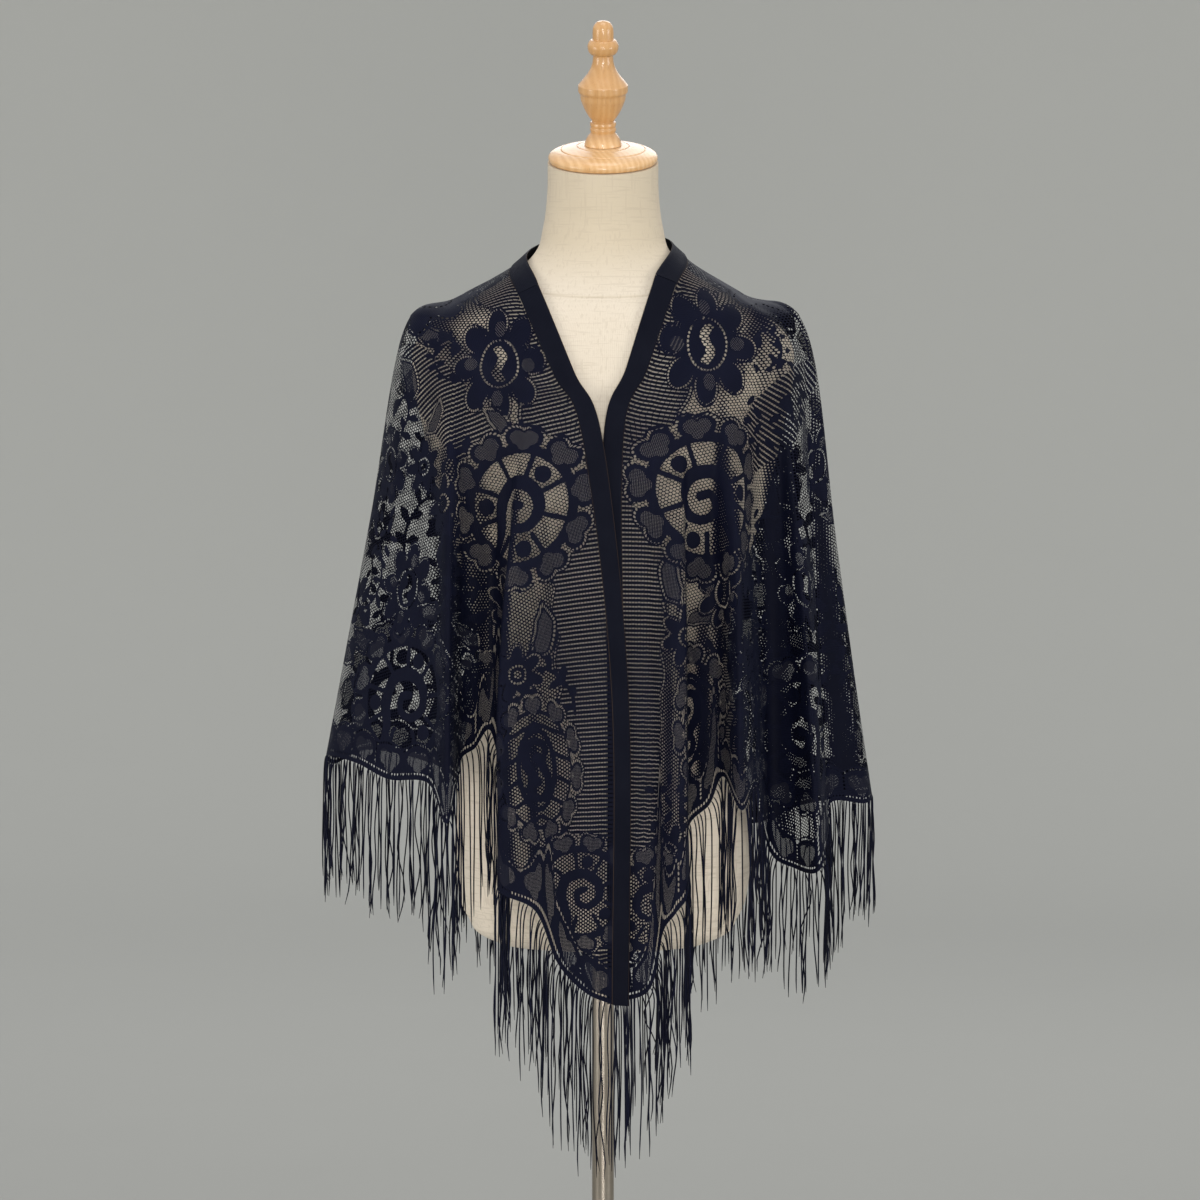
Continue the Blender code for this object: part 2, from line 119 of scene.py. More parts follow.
# Form
SHARP_ANGLE = math.radians(40)
TORSO_SIDES = 128
NECK_ROWS = 40
SEAM_ROWS = 150
BODY_ROWS = 190
CLOSING_SHARE = 0.02
TURNED_SIDES = 96
PROFILE_STEPS = 4
AXIS_RADIUS = 0.00002
SEAM_FRONT_Z = 1.336
SEAM_RISE = 0.068
SEAM_TOP_Z = 1.410
SEAM_BOTTOM_Z = 1.325
SEAM_HALF_WIDTH = 0.0013
SEAM_DEPTH = 0.0009
SEAM_RADIUS = 0.1
CAP_LEAN = math.radians(15.0)
LEAN_START_Z = 1.405
NECK_TOP_Z = 1.471
TORSO_BOTTOM_Z = 0.690
WIDEST_HIP_Z = 0.81
CAP_THICKNESS = 0.017
POLE_RADIUS = 0.011
POLE_BEVEL = 0.6
POLE_RINGS = 12
SOCKET_HEIGHT = 0.05
SEAM_GAP = 0.0003

# Neck line of the shawl: share of the way round, free edge of the band, and its seam with the lace
NECK_TITLES = ("share", "edge_x", "edge_y", "edge_z", "seam_x", "seam_y", "seam_z")
NECK = (
    ("left_front", -1.00, -62, -66, 1347, -81, -60, 1336),
    ("left_side", -0.58, -70, 4, 1380, -86, 2, 1366),
    ("left_back", -0.29, -52, 54, 1394, -62, 62, 1378),
    ("back", 0.00, -5, 71, 1403, -5, 80, 1386),
    ("right_back", 0.29, 42, 54, 1401, 52, 62, 1385),
    ("right_side", 0.58, 63, 4, 1390, 78, 2, 1378),
    ("right_front", 1.00, 50, -66, 1357, 70, -60, 1348),
)

# One row for each fold of the hem: turn round the form in degrees, share of the spread that the cloth
# has reached midway down, and the hem point in millimetres
FOLD_TITLES = ("turn", "spread", "hem_x", "hem_y", "hem_z")
FOLDS = (
    ("left_edge", 0, 1.0, 25, -151, 649),
    ("left_seam", 5.5, 1.0, 10, -151, 650),
    ("left_tip_flat", 9, 0.8, -17, -158, 663),
    ("left_tip_rise", 13, 0.7, -45, -150, 692),
    ("left_tip_roll", 17.5, 0.75, -66, -160, 743),
    ("left_first_crest", 22, 0.85, -101, -165, 765),
    ("left_first_turn", 26.5, 0.75, -92, -125, 805),
    ("left_first_trough", 31, 0.6, -108, -100, 909),
    ("left_second_rise", 36, 0.7, -126, -108, 896),
    ("left_second_roll", 41.5, 0.75, -141, -122, 882),
    ("left_second_crest", 47.5, 0.8, -151, -160, 828),
    ("left_second_trough", 54, 0.7, -170, -120, 863),
    ("left_arm_front", 64, 0.5, -210, -90, 864),
    ("left_arm", 76, 0.45, -243, -60, 877),
    ("left_outline", 90, 0.45, -275, -10, 880),
    ("left_arm_back", 105, 0.45, -271, 45, 866),
    ("left_blade", 118, 0.5, -240, 88, 876),
    ("left_back_roll", 131, 0.6, -191, 128, 863),
    ("left_back_dip", 141, 0.6, -154, 118, 846),
    ("left_back_crest", 150, 0.6, -120, 152, 801),
    ("left_back_trough", 158, 0.6, -86, 132, 757),
    ("left_back_fold", 166, 0.6, -51, 160, 691),
    ("left_back_turn", 173, 0.6, -25, 146, 647),
    ("back_tip", 180, 0.6, 0, 158, 598),
    ("right_back_turn", 187, 0.6, 24, 146, 643),
    ("right_back_fold", 194, 0.6, 49, 160, 684),
    ("right_back_trough", 202, 0.6, 82, 132, 752),
    ("right_back_crest", 210, 0.6, 126, 150, 788),
    ("right_back_dip", 219, 0.6, 164, 120, 799),
    ("right_back_roll", 229, 0.6, 202, 130, 814),
    ("right_blade", 242, 0.5, 248, 92, 828),
    ("right_outline", 269, 0.45, 270, 40, 836),
    ("right_arm", 278, 0.45, 263, 10, 830),
    ("right_arm_turn", 286, 0.5, 229, 0, 832),
    ("right_low_rise", 293, 0.6, 223, -40, 804),
    ("right_low_crest", 299, 0.6, 213, -70, 771),
    ("right_low_roll", 305, 0.6, 191, -38, 770),
    ("right_deep_trough", 311, 0.6, 164, -34, 788),
    ("right_deep_wall", 317, 0.6, 150, -100, 858),
    ("right_second_crest", 322, 0.8, 134, -150, 840),
    ("right_second_roll", 327, 0.7, 118, -112, 869),
    ("right_first_trough", 332, 0.6, 104, -105, 841),
    ("right_first_turn", 336.5, 0.7, 82, -120, 818),
    ("right_first_crest", 340, 0.8, 82, -155, 762),
    ("right_tip_roll", 343.5, 0.8, 71, -160, 741),
    ("right_tip_rise", 347, 0.8, 58, -148, 719),
    ("right_tip_flat", 350.5, 0.8, 46, -155, 667),
    ("right_seam", 354.5, 1.0, 19, -145, 652),
    ("right_edge", 360, 1.0, 4, -145, 650),
)
LAST_FOLD = len(FOLDS) - 1

# The stretches of lace, the folds where they part, and the length of their fringe
PANELS = (
    ("front_left", "left_seam", "left_second_trough", 0.155),
    ("side_left", "left_second_trough", "left_blade", 0.125),
    ("back", "left_blade", "right_blade", 0.15),
    ("side_right", "right_blade", "right_deep_wall", 0.112),
    ("front_right", "right_deep_wall", "right_seam", 0.15),
)

# Bunches of knit in the folds: place at the top and at the bottom, half width in places, the steps that
# they run between, and how much of the holes they close
BUNCHES = (
    ("left_arm_front", 10.25, 10.0, 0.50, 2.3, 4.3, 1.0),
    ("left_front_gap", 7.05, 6.95, 0.55, 2.85, 4.3, 1.0),
    ("left_front_long", 5.20, 4.60, 0.30, 2.2, 4.3, 1.0),
    ("left_front_low", 4.10, 4.00, 0.20, 3.1, 4.2, 1.0),
    ("right_arm_front", 36.35, 36.80, 0.55, 2.3, 4.3, 1.0),
    ("right_side_low", 37.90, 37.50, 0.45, 3.0, 4.2, 1.0),
    ("right_front_long", 39.10, 39.00, 0.38, 2.4, 4.3, 1.0),
    ("right_front_middle", 41.15, 41.25, 0.40, 3.0, 4.3, 1.0),
    ("right_front_gap", 43.35, 43.70, 0.28, 2.6, 4.2, 1.0),
    ("left_back_long", 21.60, 20.60, 0.50, 2.4, 4.2, 1.0),
    ("back_left_low", 24.00, 23.40, 0.40, 2.9, 4.2, 1.0),
    ("right_back_long", 27.60, 28.40, 0.50, 2.6, 4.2, 1.0),
    ("left_front_tip", 1.6, 1.6, 4.4, 2.7, 5.0, 0.30),
    ("right_front_tip", 46.2, 46.2, 4.4, 2.7, 5.0, 0.36),
)

# Creases: first and last place among the folds, half width in places, the steps that they
# run between, and height in millimetres (less than 0 for a trough)
CREASES = (
    ("left_breast_long", 9.0, 4.2, 0.9, 1.6, 3.9, 2.4),
    ("left_breast_short", 11.5, 7.2, 0.8, 1.9, 3.4, 2.0),
    ("left_edge_soft", 6.4, 2.9, 0.7, 1.2, 3.3, 1.5),
    ("left_shoulder_front", 14.2, 12.4, 1.0, 0.5, 3.0, 2.8),
    ("left_shoulder_top", 16.5, 14.8, 0.9, 0.3, 2.7, -2.4),
    ("left_upper_arm", 16.6, 17.8, 0.7, 1.9, 4.2, 4.5),
    ("left_arm_trough", 17.6, 18.6, 0.6, 2.0, 4.1, -4.0),
    ("left_arm_low", 18.6, 19.0, 0.55, 2.5, 4.3, 3.5),
    ("left_blade_long", 20.2, 20.8, 0.8, 0.9, 3.7, 3.2),
    ("left_blade_trough", 21.4, 20.0, 0.7, 1.3, 3.5, -2.6),
    ("back_left_long", 24.4, 22.6, 0.9, 0.8, 3.9, 3.4),
    ("back_left_short", 22.6, 21.8, 0.6, 2.2, 4.2, 3.0),
    ("back_middle_left", 25.2, 24.4, 0.7, 1.1, 3.4, -2.4),
    ("back_middle", 23.9, 23.2, 0.8, 2.0, 4.1, 3.6),
    ("back_right_soft", 23.4, 25.6, 0.9, 0.7, 3.2, 3.0),
    ("back_right_long", 25.6, 27.4, 0.8, 1.2, 4.1, 3.6),
    ("back_right_trough", 26.4, 28.4, 0.7, 1.5, 3.6, -2.8),
    ("right_blade_long", 28.0, 29.4, 0.8, 0.8, 3.8, 3.2),
    ("right_arm_back", 29.8, 30.6, 0.6, 1.8, 4.2, 3.6),
    ("right_arm_long", 31.2, 32.2, 0.8, 1.4, 4.2, 4.2),
    ("right_arm_trough", 32.2, 33.4, 0.6, 1.9, 4.1, -3.6),
    ("right_shoulder_top", 33.6, 35.4, 1.0, 0.4, 3.1, 3.0),
    ("right_shoulder_front", 36.0, 37.6, 0.9, 0.9, 3.0, -2.4),
    ("right_breast_short", 38.6, 40.4, 0.8, 1.5, 3.3, 2.2),
    ("right_breast_long", 41.0, 44.2, 0.9, 1.3, 3.6, 2.4),
    ("right_edge_soft", 44.6, 46.4, 0.7, 1.4, 3.2, 1.4),
)

# Colours, in linear light
NAVY = (0.0068, 0.0082, 0.0230, 1.0)
NAVY_BAND = (0.0070, 0.0080, 0.0150, 1.0)
NAVY_DARK = (0.0020, 0.0025, 0.0070, 1.0)
NAVY_SHEER = (0.014, 0.0145, 0.024, 1.0)
NAVY_SHEEN = {
    "Sheen Weight": 0.010,
    "Sheen Roughness": 0.35,
    "Sheen Tint": (0.55, 0.65, 1.0, 1.0),
    "Specular IOR Level": 0.05,
}
# painted highlight: a tan line along the band's long edges
TAN_EDGE_HIGHLIGHT = (0.16, 0.10, 0.055, 1.0)
LINEN = (0.75, 0.665, 0.545, 1.0)
# painted light: a lighter linen for the hips, standing in for the stronger light that falls on them
LINEN_PAINTED_HIP_LIGHT = (0.88, 0.775, 0.64, 1.0)
LINEN_DARK = (0.65, 0.56, 0.44, 1.0)
LINEN_WARM = (0.70, 0.60, 0.47, 1.0)
# painted shade: a darker linen for the neck, standing in for the shade under the cap
LINEN_PAINTED_NECK_SHADE = (0.60, 0.505, 0.362, 1.0)
LINEN_SEAM = (0.47, 0.38, 0.27, 1.0)
WOOD_LIGHT = (0.84, 0.55, 0.28, 1.0)
WOOD_DARK = (0.70, 0.40, 0.165, 1.0)
WOOD_DEEP = (0.60, 0.32, 0.115, 1.0)
WOOD_PORE = (0.36, 0.16, 0.05, 1.0)
METAL_LIGHT = (0.43, 0.385, 0.33, 1.0)
METAL_DARK = (0.32, 0.275, 0.22, 1.0)
METAL_SPOT = (0.28, 0.225, 0.18, 1.0)
PAPER_LOW = (0.352, 0.350, 0.3215, 1.0)
PAPER_HIGH = (0.582, 0.578, 0.530, 1.0)
PAPER_WALL = 0.83
PAPER_RISE = 0.078

# Studio, camera and lights
STUDIO_FLOOR = 5.2
STUDIO_COVE = 3.6
STUDIO_HEIGHT = 4.2
STUDIO_RINGS = (0.001, 1.0, 3.0)
COVE_RINGS = 24
STUDIO_SIDES = 96
SHAWL_MIDDLE_Z = 1.05
CAMERA_DISTANCE = 4.5
CAMERA_RISE = math.radians(3.5)
CAMERA_AIM = (-0.003, 1.035)
VIEW_WIDTH = 1.2
LIGHT_CONE = math.radians(62)
SENSOR_WIDTH = 36.0
SIGHT = 60.0
SKY = (0.93, 0.95, 1.0, 1.0)
SKY_STRENGTH = 0.8

# Lights: place, size, power and colour, and the cone that a light is kept to, or None
LIGHTS = (
    ("light_front", (-0.25, -4.8, 1.85), 0.8, 145.0, (1.0, 0.99, 0.97), LIGHT_CONE),
    ("light_low", (0.15, -4.5, 0.62), 0.8, 200.0, (1.0, 0.99, 0.97), LIGHT_CONE),
    ("light_left", (-3.1, -1.7, 1.15), 1.5, 145.0, (1.0, 0.985, 0.96), LIGHT_CONE),
    ("light_right", (3.1, -1.7, 1.2), 1.5, 145.0, (1.0, 0.99, 0.975), LIGHT_CONE),
    ("light_back", (0.4, 3.2, 3.2), 2.4, 30.0, (1.0, 1.0, 1.0), None),
    ("light_top", (0.0, -0.7, 3.9), 1.6, 18.0, (1.0, 1.0, 1.0), None),
)

# Knitting, in millimetres
NET_WIDE = 3.4
NET_HIGH = 5.2
NET_RADIUS = 1.27
LADDER_PITCH = 4.1
LADDER_OPEN = 0.17
LADDER_CROSS = 2.8
LADDER_CROSS_OPEN = 0.42
EYELET_RADIUS = 1.2
SHEER_PITCH = 1.3
SHEER_RADIUS = 0.27
RIB_PITCH = 2.1
YARN_PITCH = 0.9
BAND_RIB_PITCH = 1.15
BAND_ROW_PITCH = 1.0
BAND_HIGHLIGHT_SPAN = (9.0, 9.5)

# Fringe thread: plies round a strand, and their crests to the metre
PLIES = 2
PLY_TURNS = 420

# Linen: threads and stitches round the form, two widths in millimetres, and a wander in radians
WARP_THREADS = 620
STITCHES = 190
WEFT_PITCH = 1.25
STITCH_LINE = 3.2
WEAVE_WANDER = 9

# Lace, in millimetres of the flat cut: the beaded line between the ladder and the flowers, and the hem
FAR = 60.0
STROKE_LEGS = 4
SMOOTH_ENOUGH = 0.935
SMOOTH_REACH = 0.6
GATHER_FROM = 0.84
BUNCH_FADE = 0.35
BUNCH_FLAT = 1.5
MOTIF_ROOM = 1.35
FACING_LEAST = 0.2
STRETCH_LEAST = 0.1
SHEER_MARGIN = 1
BEAD_MARGIN = 3
BEAD_INSET = 2.6
BEAD_PITCH = 3.5
EDGE_LINE = 55.0
EDGE_WAVE = 9.0
EDGE_WAVE_LENGTH = 46.0
EDGE_SLOPE = 0.85
HEM_BORDER = 30.0
HEM_CHAIN = 5.5
HEM_WAVE = 7.0
HEM_LOBE_LINE = 20.0
HEM_UPRIGHT = 9
HEM_LOBE_PITCH = 37.0
PETALS = 8
LOBES = 11
LOBE_RADIUS = 14.0
BARS = 9
LADDER_PATCHES = ((-305, 107, 76, 27), (294, 126, 72, 28))

# Strokes of the motifs: rows of two coordinates and a half width along each spine, in millimetres
SPIRAL = (
    (-38, -50, 3.5), (-29, -26, 5.5), (-27, 2, 6.5), (-14, 23, 7), (10, 25, 7), (26, 8, 6.5),
    (22, -13, 5.5), (5, -21, 4.5), (-8, -12, 4), (-5, 3, 4), (6, 3, 4.5),
)
CURL = ((-6, -24, 6), (-14, -6, 5), (-8, 14, 4.5), (9, 12, 4), (10, -3, 3.6), (0, -4, 5.5))
LEAF_SPINE = ((-6, -29, 1), (3, -12, 12.5), (4, 8, 12), (-3, 29, 0.8))
SPRAY_STEM = ((22, -48, 1.6), (2, -30, 2), (-8, 0, 2), (4, 28, 1.8), (26, 34, 2), (30, 16, 2))
SPRAY_DROP = ((28, 22, 4), (30, 10, 8.5), (24, 1, 3))

# Small leaves of the spray: foot, way to the tip, and half width
SPRAY_LEAVES = (
    (8, -36, -16, 8, 4.5), (12, -40, 16, 6, 4.2), (-5, -16, -18, 10, 5.0), (-4, -12, 17, 6, 4.6),
    (-7, 4, -18, 14, 5.0), (-5, 10, 15, 8, 4.4), (2, 24, -14, 16, 4.6), (10, 31, -2, 18, 4.2),
    (20, 34, 6, 15, 3.8),
)

# Ovals of the scatter: middle, turn, half width and half height
SCATTER_OVALS = (
    (-24, 16, 0.9, 4.5, 10), (-8, 26, 0.2, 4.2, 9), (10, 22, -0.6, 4.6, 10), (26, 8, -1.1, 4.2, 9),
    (18, -12, 0.5, 5.0, 11), (-2, -4, 1.2, 4.4, 9), (-22, -12, -0.5, 5.0, 11), (-6, -28, 0.1, 4.4, 9),
    (24, -30, 0.9, 4.2, 9), (-34, -30, 1.0, 4.4, 9),
)

# Small fill motifs on a slanted lattice, in millimetres, wherever no large one lies
FILL_LINES = 16
FILL_START = 0.45
FILL_PITCH = 51.0
FILL_ROW = 44.0
FILL_COUNTS = (5, 3)
FILL_SIZE = 0.72
FILL_GROWTH = 0.09
FILL_SIZES = 4
FILL_KINDS = ("leaf", "spray", "bloom", "leaf", "scatter", "spray", "leaf", "bloom")
GOLDEN_TURN = 137.5
FILL_ROOM = 0.74

# Open net with no small motif on it: place of the middle and radius, in metres of the flat cut
OPEN_NET = (
    (-0.384, 0.242, 0.042), (-0.447, 0.165, 0.036), (-0.300, 0.300, 0.034), (0.391, 0.270, 0.044),
    (0.330, 0.160, 0.034), (0.300, 0.290, 0.034), (-0.190, 0.200, 0.034), (0.190, 0.195, 0.034),
    (-0.060, 0.300, 0.034), (0.070, 0.230, 0.034), (0.100, 0.560, 0.036), (-0.100, 0.540, 0.036),
)

# Motifs: kind, place of the middle in metres of the flat cut, turn in degrees, size, and -1 if mirrored
MOTIFS = (
    ("left_shoulder_spray", "spray", -0.259, 0.087, 20, 0.62, 1),
    ("left_shoulder_flower", "flower", -0.283, 0.048, 8, 0.95, 1),
    ("left_breast_leaf", "leaf", -0.340, 0.078, 40, 0.8, 1),
    ("left_breast_medallion", "medallion", -0.424, 0.090, 0, 0.98, 1),
    ("left_waist_leaf", "leaf", -0.544, 0.084, -8, 1.05, 1),
    ("left_waist_bloom", "bloom", -0.580, 0.112, 0, 0.95, 1),
    ("left_waist_flower", "flower", -0.512, 0.145, 20, 0.62, 1),
    ("left_hip_flower", "flower", -0.596, 0.176, -30, 0.66, -1),
    ("left_hip_arch", "arch", -0.671, 0.100, 4, 0.84, 1),
    ("left_tip_medallion", "medallion", -0.792, 0.054, 20, 0.70, 1),
    ("left_arm_medallion", "medallion", -0.472, 0.341, 10, 0.92, 1),
    ("left_arm_spray", "spray", -0.445, 0.200, -30, 1.0, -1),
    ("left_shoulder_top_bloom", "bloom", -0.178, 0.078, 15, 1.75, 1),
    ("left_arm_flower", "flower", -0.290, 0.200, 15, 0.66, -1),
    ("left_arm_low_flower", "flower", -0.396, 0.266, -10, 0.74, 1),
    ("left_arm_leaves", "scatter", -0.345, 0.345, 30, 1.1, 1),
    ("left_low_arch", "arch", -0.590, 0.215, 30, 0.72, 1),
    ("left_blade_medallion", "medallion", -0.265, 0.480, -12, 0.98, -1),
    ("left_blade_spray", "spray", -0.205, 0.320, 15, 1.1, -1),
    ("left_blade_bloom", "bloom", -0.140, 0.230, 30, 1.15, 1),
    ("back_left_flower", "flower", -0.105, 0.125, -6, 0.95, -1),
    ("back_left_medallion", "medallion", -0.110, 0.395, 8, 0.9, 1),
    ("back_middle_leaf", "leaf", 0.000, 0.205, 10, 1.1, 1),
    ("back_middle_bloom", "bloom", 0.000, 0.300, 0, 1.2, 1),
    ("back_middle_spray", "spray", 0.005, 0.520, 5, 1.15, 1),
    ("back_tip_medallion", "medallion", 0.000, 0.660, 0, 1.0, 1),
    ("back_right_medallion", "medallion", 0.112, 0.400, -10, 0.92, -1),
    ("back_right_flower", "flower", 0.105, 0.120, 6, 0.95, 1),
    ("right_blade_bloom", "bloom", 0.140, 0.235, 0, 1.15, 1),
    ("right_blade_spray", "spray", 0.210, 0.315, -12, 1.1, 1),
    ("right_blade_medallion", "medallion", 0.270, 0.480, 14, 0.98, 1),
    ("right_arm_leaves", "scatter", 0.335, 0.350, -20, 1.1, -1),
    ("right_arm_low_flower", "flower", 0.380, 0.268, 20, 0.74, 1),
    ("right_arm_flower", "flower", 0.275, 0.205, -15, 0.66, 1),
    ("right_shoulder_top_bloom", "bloom", 0.146, 0.068, -15, 1.75, 1),
    ("right_arm_spray", "spray", 0.440, 0.215, 30, 1.0, 1),
    ("right_arm_medallion", "medallion", 0.483, 0.368, -12, 0.94, -1),
    ("right_low_arch", "arch", 0.585, 0.225, -30, 0.72, -1),
    ("right_tip_medallion", "medallion", 0.793, 0.054, -20, 0.70, -1),
    ("right_hip_arch", "arch", 0.612, 0.135, -4, 0.92, -1),
    ("right_waist_bloom", "bloom", 0.535, 0.085, 0, 1.0, 1),
    ("right_waist_flower", "flower", 0.475, 0.140, -20, 0.62, -1),
    ("right_waist_leaf", "leaf", 0.481, 0.066, 8, 1.0, -1),
    ("right_breast_medallion", "medallion", 0.395, 0.094, 6, 1.0, -1),
    ("right_shoulder_spray", "spray", 0.241, 0.084, -30, 0.62, -1),
    ("right_shoulder_flower", "flower", 0.250, 0.038, -8, 1.02, -1),
)

# Sections of the linen form, top to bottom, in millimetres
FORM_TITLES = ("z", "half_width", "front", "back")
FORM = (
    ("neck_top", 1471, 55, 55, 55),
    ("neck", 1440, 55.5, 55.5, 56),
    ("neck_low", 1405, 60, 57, 59),
    ("neck_root", 1384, 66, 62, 66),
    ("slope_top", 1362, 88, 69, 79),
    ("slope_mid", 1340, 124, 77, 88),
    ("slope_low", 1317, 165, 86, 97),
    ("shoulder", 1293, 187, 94, 104),
    ("arm", 1264, 190, 101, 109),
    ("chest", 1208, 180, 111, 111),
    ("bust", 1140, 164, 117, 106),
    ("ribs", 1060, 140, 106, 95),
    ("waist", 985, 124, 92, 87),
    ("high_hip", 900, 138, 100, 100),
    ("hip", 810, 148, 108, 114),
    ("seat", 760, 147, 107, 112),
    ("seat_round", 718, 136, 97, 102),
    ("under", 697, 118, 82, 86),
    ("flat", 690, 100, 68, 71),
)

# Turned profiles: height above the piece's foot and radius, in millimetres, top to bottom
FINIAL = (
    (124.9, 0), (123.9, 5), (121.2, 8.2), (117, 10.0), (111.6, 10.45), (106, 10.45),
    (105.6, 12.2), (102.2, 14.6), (99, 15.4), (94.8, 14.6), (91.2, 12.0),
    (90.2, 9.95), (84.5, 10.3), (78.8, 11.8), (71.7, 15.5), (65.1, 20.8), (61.2, 23.8),
    (60, 24.7), (54.3, 24.7), (51.2, 22.8), (46.5, 22.3), (41.8, 20.7), (34.9, 17.7),
    (29.1, 14.3), (24.2, 10.8), (23.1, 12.6), (20.5, 13.0), (18.3, 12.2), (16.3, 13.0),
    (13.7, 12.4), (12.7, 12.2), (8.5, 15.5), (3.7, 17.6), (0.9, 18.3), (0, 18.3), (0, 0),
)
CAP = (
    (17.0, 0), (17.0, 19), (16.4, 25.3), (15.6, 26.0), (16.2, 26.7), (14.4, 36), (13.2, 41.3),
    (12.2, 42.0), (12.8, 42.7), (10.6, 49), (7.6, 53.2), (4.4, 54.5), (1.6, 53.6), (0, 51.5), (0, 0),
)
BASE = (
    (50, 0), (50, 18), (49, 19), (16, 19), (14, 23), (13.2, 34), (12, 60),
    (10, 180), (8, 186.5), (5, 190), (1.5, 190), (0, 188.5), (0, 0),
)


def columns_of(rows, titles):
    """A table's rows as one array for each title, without the names in front."""
    return {title: np.array([row[i] for row in rows], float) for i, title in enumerate(titles, 1)}


def smooth(at, stations, values, slopes=None):
    """Values given at rising stations, read on a smooth curve: cubic pieces with averaged slopes."""
    at = np.asarray(at, float)
    stations = np.asarray(stations, float)
    if slopes is None:
        slopes = np.gradient(values, stations, axis=0)
    piece = np.clip(np.searchsorted(stations, at, side="right") - 1, 0, len(stations) - 2)
    width = stations[piece + 1] - stations[piece]
    t = (at - stations[piece]) / width
    shape = at.shape + (1,) * (values.ndim - 1)
    t = t.reshape(shape)
    width = width.reshape(shape)
    start = (1 + 2 * t) * (1 - t) ** 2 * values[piece] + t * (1 - t) ** 2 * width * slopes[piece]
    end = t**2 * (3 - 2 * t) * values[piece + 1] + t**2 * (t - 1) * width * slopes[piece + 1]
    return start + end


def unit(vectors):
    """The vectors drawn to a length of one."""
    return vectors / np.maximum(np.linalg.norm(vectors, axis=-1, keepdims=True), TINY)


def outward(points):
    """Unit normals of a grid of points: the cross product of its slopes along both ways."""
    return unit(np.cross(np.gradient(points, axis=0), np.gradient(points, axis=1)))


def form_sizes(z):
    """Half width, front depth and back depth of the form at each height."""
    form = columns_of(FORM[::-1], FORM_TITLES)
    heights = form["z"] * MM
    sizes = np.stack([form["half_width"], form["front"], form["back"]], axis=1) * MM
    return smooth(np.clip(z, heights[0], heights[-1]), heights, sizes)


def form_reach(points):
    """How far out each point is, as a share of the form's section at its height, or of the hips below."""
    sizes = form_sizes(np.maximum(points[..., 2], WIDEST_HIP_Z))
    depth = np.where(points[..., 1] < 0, sizes[..., 1], sizes[..., 2])
    return np.hypot(points[..., 0] / sizes[..., 0], points[..., 1] / depth)


def form_gap(points):
    """Distance of each point from the form and the direction away from it: reach over its own slope."""
    slope = np.stack(
        [
            (form_reach(points + PROBE * axis) - form_reach(points - PROBE * axis)) / (2 * PROBE)
            for axis in np.eye(3)
        ],
        axis=-1,
    )
    steepness = np.linalg.norm(slope, axis=-1, keepdims=True)
    return (form_reach(points) - 1) / steepness[..., 0], slope / steepness


def clear_of_form(points, clearance):
    """Moves the points that are in or near the form out to its surface plus the clearance, softly."""
    gap = form_gap(points)[0] - clearance
    wanted = clearance + (gap + np.sqrt(gap**2 + CLEARANCE_SOFTNESS**2)) / 2
    for _ in range(CLEARANCE_PASSES):
        gap, away = form_gap(points)
        points = points + away * (wanted - gap)[..., None]
    return points


def fold_index(name):
    """The place of a named fold in the table."""
    return [row[0] for row in FOLDS].index(name)


def neck_line(share, edge):
    """Points on the neck line, at shares from -1 at the left front to 1 at the right front."""
    neck = columns_of(NECK, NECK_TITLES)
    line = np.stack([neck[f"{edge}_{axis}"] for axis in "xyz"], axis=1) * MM
    return smooth(share, neck["share"], line)


def neck_share(index):
    """Where on the neck line a fold's section starts: crowded at the fronts, even round the back."""
    back = fold_index("back_tip")
    left = (index - 1) / (back - 1)
    right = (LAST_FOLD - 1 - index) / (LAST_FOLD - 1 - back)
    far = np.clip(np.where(index < back, left, right), 0, 1)
    return np.sign(index - back) * (1 - NECK_CROWDING * far - (1 - NECK_CROWDING) * far**2)


def leave_ring(turn):
    """The points where the sections leave the form, for turns in degrees from the front."""
    sine = np.sin(np.radians(turn))
    cosine = np.cos(np.radians(turn))
    front = np.where(turn < 180, LEAVE_FRONT_OVER, LEAVE_FRONT_UNDER)
    depth = np.where(cosine > 0, front, LEAVE_BACK)
    middle_z = np.where(cosine > 0, LEAVE_FRONT_Z, LEAVE_BACK_Z)
    z = middle_z + (LEAVE_SIDE_Z - middle_z) * sine**2
    return np.stack([-LEAVE_SIDE * sine, -depth * cosine, z], axis=1)


def section_knots():
    """Six knots for each fold's section: neck edge, band seam, halfway, leaving ring, midway, hem."""
    folds = columns_of(FOLDS, FOLD_TITLES)
    share = neck_share(np.arange(len(FOLDS)))
    edge = neck_line(share, "edge")
    seam = neck_line(share, "seam")
    for end in (0, -1):
        edge[end], seam[end] = 2 * edge[end] - seam[end], edge[end].copy()
    ring = leave_ring(folds["turn"])
    hem = np.stack([folds["hem_x"], folds["hem_y"], folds["hem_z"]], axis=1) * MM
    spread = np.stack([folds["spread"], folds["spread"], np.full(len(FOLDS), MIDWAY)], axis=1)
    halfway = seam + HALFWAY * (ring - seam)
    return np.stack([edge, seam, halfway, ring, ring + spread * (hem - ring), hem], axis=1)


